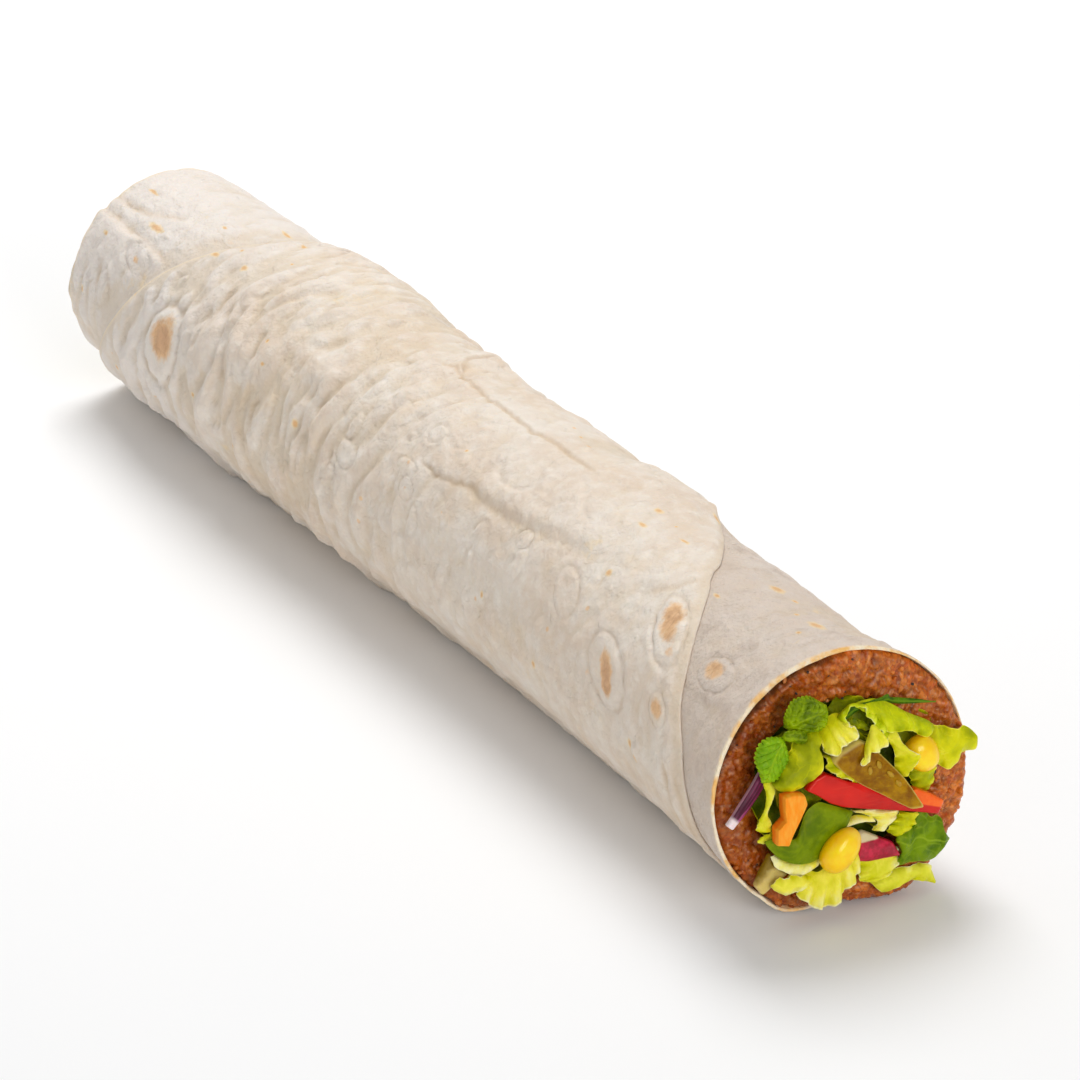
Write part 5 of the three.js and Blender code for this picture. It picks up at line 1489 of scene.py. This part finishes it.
SPINACH = (
    dict(first=((0.6, -4.9, 4.2), (-4.6, -2.0, 4.6), (-7.4, -0.8, 4.8), (-9.9, -1.9, 5.2),
            (-11.6, -4.8, 5.4), (-13.1, -7.2, 5.2), (-16.8, -5.9, 4.8), (-19.2, -6.6, 4.4)),
        second=((0.6, -4.9, 4.2), (-0.9, -6.7, 5.0), (-2.6, -8.7, 5.2), (-4.8, -10.5, 5.4),
            (-6.7, -12.1, 5.6), (-9.5, -13.1, 5.6), (-12.9, -12.6, 5.4), (-16.1, -10.8, 5.0),
            (-18.3, -8.3, 4.6), (-19.2, -6.6, 4.4)),
        bulge=0.7, folds=1.5, fold=0.25, fine=0.05, pucker=0.06, quilt=(5, 0.12), thick=0.5, rows=50,
        columns=110, seed=411),
)
ROCKET = (
    dict(first=((10.4, -14.0, 5.0), (10.3, -13.2, 5.2), (12.5, -12.6, 5.2), (14.5, -11.5, 4.8),
            (15.2, -9.3, 4.2), (16.8, -9.5, 4.4), (18.0, -11.0, 4.6), (19.7, -11.3, 4.6), (20.7, -12.4, 4.6),
            (20.9, -14.6, 4.8), (22.2, -17.0, 4.6)),
        second=((10.4, -14.4, 5.0), (10.9, -16.5, 5.2), (10.9, -17.1, 5.2), (10.3, -19.5, 5.0),
            (11.4, -20.0, 5.0), (14.1, -19.8, 4.8), (18.4, -20.9, 4.4), (20.8, -18.4, 4.6),
            (22.2, -17.0, 4.6)),
        bulge=0.9, folds=2.5, fold=0.35, fine=0.1, pucker=0.1, quilt=(4, 0.2), thick=0.45, rows=50,
        columns=110, seed=421),
)
HERB = (
    dict(first=((-2.6, 15.4, 3.4), (-1.0, 17.4, 4.0), (0.8, 18.8, 4.4), (4.4, 19.0, 4.6), (7.0, 19.3, 4.6),
            (8.6, 19.4, 4.4), (9.4, 18.5, 4.2), (14.2, 16.9, 3.8), (19.9, 14.6, 3.4)),
        second=((-2.6, 15.4, 3.4), (-0.2, 16.0, 3.6), (1.9, 17.2, 4.0), (7.3, 17.6, 4.0), (12.3, 16.2, 3.8),
            (19.9, 14.6, 3.4)),
        bulge=0.3, folds=3, fold=0.15, pucker=0.05, rows=20, columns=80, seed=431),
)


def build_leaves(name, slot, node, blades, finish):
    """One piece made of the blades of one kind of leaf."""
    shape = Shape()
    for blade in blades:
        frill(shape, both=True, **blade)
    set_in_place(shape, name, finish, slot, node)


def build_greens():
    mint = green_finish("mint", (80, 106, 0), (140, 168, 0), (172, 194, 24), 0.2, 0.6, 0.5, 0.9)
    build_leaves("mint_leaves", "mint", "mint_sprig", MINT, mint)
    spinach = green_finish("spinach", (88, 114, 0), (122, 144, 0), (142, 160, 0), 0.34, 0.16, 0.3)
    build_leaves("spinach_leaf_blade", "dark_leaf", "spinach_leaf", SPINACH, spinach)
    rocket = green_finish("rocket", (76, 112, 0), (118, 148, 0), (158, 184, 40), 0.3, 0.3, 0.8, 0.2)
    build_leaves("rocket_leaf_blade", "dark_leaf", "rocket_leaf", ROCKET, rocket)
    herb = green_finish("herb", (44, 84, 0), (84, 124, 0), (112, 150, 20), 0.35)
    build_leaves("herb_leaf_blade", "dark_leaf", "herb_leaf", HERB, herb)


# A kernel: its piece, its CAD solid, its middle and its long axis in the mouth's frame, its half-sizes, and
# the seed of its bumps.
KERNELS = (
    ("corn_kernel_high", "corn_kernel_upper", (15.6, 4.4, 5.8), (0.55, -0.8, 0.1), (4.0, 3.5, 2.6), 1),
    ("corn_kernel_low", "corn_kernel_lower", (-3.9, -11.2, 7.6), (0.66, 0.75, 0.05), (5.1, 3.6, 3.0), 5),
)


def build_corn():
    f = Finish("sweetcorn", Subsurface_Weight=0.2, Subsurface_Scale=0.0012, Specular_IOR_Level=0.4,
               Coat_Weight=0.5, Coat_Roughness=0.1, Subsurface_Radius=(1.0, 0.6, 0.1),
               Specular_Tint=WARM_GLOSS, Coat_Tint=(1.0, 0.98, 0.75, 1.0))
    local = f.value("local", vector=True)
    base = f.between(f.band(f.noise(0.3, 3, 0.6), 0.35, 0.7), (255, 204, 0), (255, 222, 16))
    # Paler toward the kernel's narrow end: a painted highlight.
    base = f.over(base, f.band(f.split(local, "X"), 0.6, 1.0), 0.6, 250, 226, 110)
    # More orange where local Z is low, on the sides and underneath: painted shade.
    base = f.over(base, f.band(f.split(local, "Z"), 0.9, 0.2), 0.45, 252, 180, 0)
    material = f.done(base, f.range(f.noise(0.8, 2), 0.25, 0.4), (f.noise(0.9, 3), 0.08))
    for name, node, centre, axis, sizes, seed in KERNELS:
        corn = Shape()
        kernel(corn, centre, axis, *sizes, seed)
        set_in_place(corn, name, material, "sweetcorn", node)


# A seed's place on the pickle as seen at the mouth, and the way that it points, in radians.
PICKLE_SEEDS = ((5.6, 4.8, 1.9), (7.9, 2.4, 2.3), (3.6, 4.0, 1.7), (9.4, 0.2, 2.2))


def build_pickles():
    f = Finish("pickled_cucumber", Subsurface_Weight=0.3, Subsurface_Scale=0.002, Specular_IOR_Level=0.2,
               Coat_Weight=0.1, Coat_Roughness=0.12, Subsurface_Radius=(1.0, 0.7, 0.15),
               Specular_Tint=WARM_GLOSS, Coat_Tint=(1.0, 0.95, 0.6, 1.0))
    local = f.value("local", vector=True)
    base = f.between(f.band(f.noise(0.3, 3, 0.6), 0.35, 0.7), (132, 82, 0), (176, 128, 0))
    streaks = f.noise(0.9, 3, 0.6, f.stretch(local, (0.5, 1.4, 1)))
    base = f.over(base, f.band(streaks, 0.55, 0.8), 0.5, 198, 160, 20)
    base = f.over(base, f.band(f.value("inside"), 0.12, 0.02), 0.75, 222, 204, 110)
    skin = f.band(f.split(local, "Z"), 0.3, 0.0)
    base = f.over(base, skin, 0.7, 116, 100, 4)
    material = f.done(base, f.range(f.noise(0.8, 2), 0.2, 0.38), (streaks, 0.12), (f.noise(2.0, 3), 0.08))
    wedge = Shape()
    slab(wedge, ((-3.6, 7.4), (-2.2, 9.0), (0.2, 9.9), (2.3, 10.9), (4.3, 9.8), (6.7, 7.2), (9.4, 3.8),
                 (11.6, 0.9), (13.2, -1.9), (15.3, -6.0), (12.6, -5.9), (9.5, -3.8), (6.7, -1.7), (2.6, 1.1),
                 (-0.2, 3.3), (-2.3, 5.6)), 5.9, (0.12, -0.1), 2.4, bulge=0.6, seed=3)
    set_in_place(wedge, "pickle_wedge_cut", material, "pickled_cucumber", "pickle_wedge")
    seen = (np.concatenate(wedge.points) - MOUTH) @ MOUTH_AXES.T
    seeds = Shape()
    draw = np.random.default_rng(95)
    for x, y, turn in PICKLE_SEEDS:
        near_by = np.hypot(seen[:, 0] - x, seen[:, 1] - y) < 1.2
        z = seen[near_by, 2].max()
        along_seed = toward((math.cos(turn), math.sin(turn), 0.05)) * draw.uniform(0.9, 1.15)
        across_seed = toward((-math.sin(turn), math.cos(turn), 0)) * 0.5
        ball(seeds, at_mouth((x, y, z - 0.16)), np.stack([across_seed, toward((0, 0, 1)) * 0.25, along_seed]),
             12, 9)
    f = Finish("pickle_seeds", Subsurface_Weight=0.3, Subsurface_Scale=0.001, Specular_IOR_Level=0.3)
    tint = f.between(f.noise(0.8, 2), (160, 116, 0), (196, 156, 30))
    seeds.build("pickle_seeds", f.done(tint, 0.3, (f.noise(2, 2), 0.05)), "pickled_cucumber")
    f = Finish("pickle_slice", Subsurface_Weight=0.4, Subsurface_Scale=0.002, Specular_IOR_Level=0.35,
               Subsurface_Radius=(1.0, 0.7, 0.15))
    local = f.value("local", vector=True)
    corner = f.plus(f.times(f.split(local, "X"), -0.6), f.times(f.split(local, "Y"), 0.8))
    skin = f.band(f.plus(corner, f.times(f.noise(0.6, 2), 1.5)), 0.2, 1.8)
    flesh = f.between(f.noise(0.5, 3, 0.6), (206, 178, 84), (226, 204, 130))
    rind = f.between(f.noise(0.7, 3, 0.6), (112, 88, 0), (156, 126, 20))
    material = f.done(f.mix(skin, flesh, rind), f.range(f.noise(0.8, 2), 0.25, 0.4), (f.noise(1.2, 3), 0.1))
    piece = Shape()
    slab(piece, ((-18.3, -10.1), (-17.4, -11.3), (-16.3, -13.8), (-14.5, -15.4), (-16.9, -16.6),
                 (-20.3, -18.8), (-21.9, -16.4), (-20.3, -13.2)), 3.0, (0.02, 0.0), 1.8, seed=4)
    set_in_place(piece, "pickle_slice_cut", material, "pickled_cucumber", "pickle_slice")


def build_pepper():
    f = Finish("red_pepper", Specular_IOR_Level=0.35, Coat_Weight=0.2, Coat_Roughness=0.12,
               Subsurface_Weight=0.15, Subsurface_Scale=0.0015, Subsurface_Radius=(1.0, 0.25, 0.1),
               Specular_Tint=(1.0, 0.6, 0.5, 1.0))
    local = f.value("local", vector=True)
    skin = f.between(f.band(f.noise(0.12, 2, 0.5), 0.35, 0.65), (190, 8, 4), (220, 26, 14))
    flesh = f.between(f.noise(0.9, 3, 0.6), (244, 78, 8), (255, 124, 34))
    slope = f.plus(f.split(local, "Y"), f.times(f.split(local, "X"), 0.42))
    right = f.band(f.plus(f.split(local, "X"), f.times(f.noise(0.6, 2), 1.0)), 12.2, 12.8)
    cut = f.times(f.band(slope, -0.3, 0.1), right)
    side = f.times(f.band(f.split(local, "Z"), 0.75, 0.4), 0.6)
    base = f.mix(f.calc("MAXIMUM", cut, side), skin, flesh)
    lines = f.noise(0.5, 3, 0.6, f.stretch(local, (0.3, 2, 2)))
    base = f.over(base, f.band(lines, 0.55, 0.75), 0.12, 252, 84, 46)
    pepper = Shape()
    slab(pepper, ((-10.4, 2.7), (-9.9, 3.3), (-8.3, 4.8), (-6.2, 5.4), (-3.8, 4.1), (-1.3, 2.6), (2.2, 1.1),
                  (4.7, -0.3), (9.7, -3.0), (14.4, -3.0), (17.6, -4.9), (20.6, -7.2), (19.3, -9.8),
                  (12.2, -7.4), (7.0, -5.8), (2.0, -4.3), (-2.5, -2.8), (-5.3, -1.3), (-8.1, 1.1)), 6.1,
         (0.0, 0.0), 2.2, bulge=0.5, round_off=0.3, rough=0.015, soft=1, seed=6, steps=240)
    material = f.done(base, f.range(lines, 0.16, 0.3), (lines, 0.05))
    set_in_place(pepper, "red_pepper_cut", material, "red_pepper", "red_pepper_strip")


def build_carrot():
    f = Finish("carrot", Subsurface_Weight=0.25, Subsurface_Scale=0.0015, Specular_IOR_Level=0.3,
               Subsurface_Radius=(1.0, 0.4, 0.1), Specular_Tint=(1.0, 0.75, 0.5, 1.0))
    local = f.value("local", vector=True)
    fibres = f.noise(0.6, 3, 0.6, f.stretch(local, (2.2, 0.5, 1)))
    base = f.between(f.band(fibres, 0.35, 0.7), (255, 148, 24), (255, 172, 56))
    base = f.over(base, f.band(f.split(local, "Z"), 0.8, 0.3), 0.85, 240, 108, 4)
    carrot = Shape()
    slab(carrot, ((-15.0, 3.7), (-12.8, 3.9), (-10.6, 3.2), (-10.2, 1.3), (-12.2, -2.1), (-14.1, -5.1),
                  (-14.9, -6.8), (-17.3, -6.2), (-17.0, -3.0), (-15.0, -1.4), (-15.2, 0.6)), 7.2,
         (0.05, -0.08), 3.0, bulge=0.0, round_off=0.22, rough=0.04, soft=1, seed=7)
    set_in_place(carrot, "carrot_cut", f.done(base, 0.42, (fibres, 0.15)), "carrot", "carrot_stick")


def build_radish():
    f = Finish("radish", Specular_IOR_Level=0.35, Coat_Weight=0.15, Coat_Roughness=0.15,
               Subsurface_Weight=0.25, Subsurface_Scale=0.0015, Subsurface_Radius=(1.0, 0.5, 0.5))
    local = f.value("local", vector=True)
    skin = f.between(f.band(f.noise(0.5, 3, 0.65), 0.35, 0.7), (156, 0, 34), (206, 28, 66))
    flesh = f.between(f.noise(0.6, 3, 0.6), (206, 190, 140), (230, 216, 178))
    line = f.plus(f.split(local, "Y"), f.times(f.noise(0.5, 2), 0.6))
    base = f.mix(f.band(line, -10.2, -10.6), flesh, skin)
    radish = Shape()
    slab(radish, ((1.3, -8.8), (3.3, -8.7), (5.7, -10.2), (8.1, -11.7), (9.8, -12.8), (11.4, -16.0),
                  (7.7, -15.7), (3.8, -15.5), (0.9, -14.7), (1.9, -11.6)), 5.4, (0.0, -0.02), 2.2, bulge=0.7,
         seed=8)
    set_in_place(radish, "radish_cut", f.done(base, 0.3, (f.noise(1.2, 3), 0.1)), "radish", "radish_slice")


def build_onion():
    f = Finish("red_onion", Subsurface_Weight=0.3, Subsurface_Scale=0.0015, Specular_IOR_Level=0.25,
               Subsurface_Radius=(1.0, 0.5, 0.7))
    section = f.value("section", vector=True)
    stripe = f.noise(1.1, 3, 0.6, f.stretch(section, (0.12, 2.2, 1.2)))
    down = f.band(f.split(section, "X"), 6.0, 13.0)
    base = f.between(f.band(stripe, 0.38, 0.66), (70, 0, 34), (120, 16, 70))
    base = f.over(base, down, f.band(stripe, 0.4, 0.7), 180, 84, 132)
    sides = f.times(f.band(f.calc("ABSOLUTE", f.split(section, "Y")), 0.9, 1.0), 0.35)
    base = f.mix(sides, base, colour(236, 212, 216))
    base = f.mix(f.band(f.split(section, "X"), 12.6, 13.4), base, colour(240, 222, 222))
    onion = Shape()
    sweep(onion, ((-17.9, 8.3, 1.6), (-19.2, 5.6, 2.0), (-22.6, 1.6, 2.4), (-26.9, -2.6, 2.8)), (-0.1, 0, 1),
          (0.5, 1.3, 1.25, 0.9), (0.8, 0.8, 0.75), rough=0.05, seed=9)
    set_in_place(onion, "red_onion_cut", f.done(base, 0.3, (stripe, 0.12)), "red_onion", "red_onion_strip")


add_camera()
add_studio()
build_bread()
build_paste()
build_salad()
build_greens()
build_corn()
build_pickles()
build_pepper()
build_carrot()
build_radish()
build_onion()
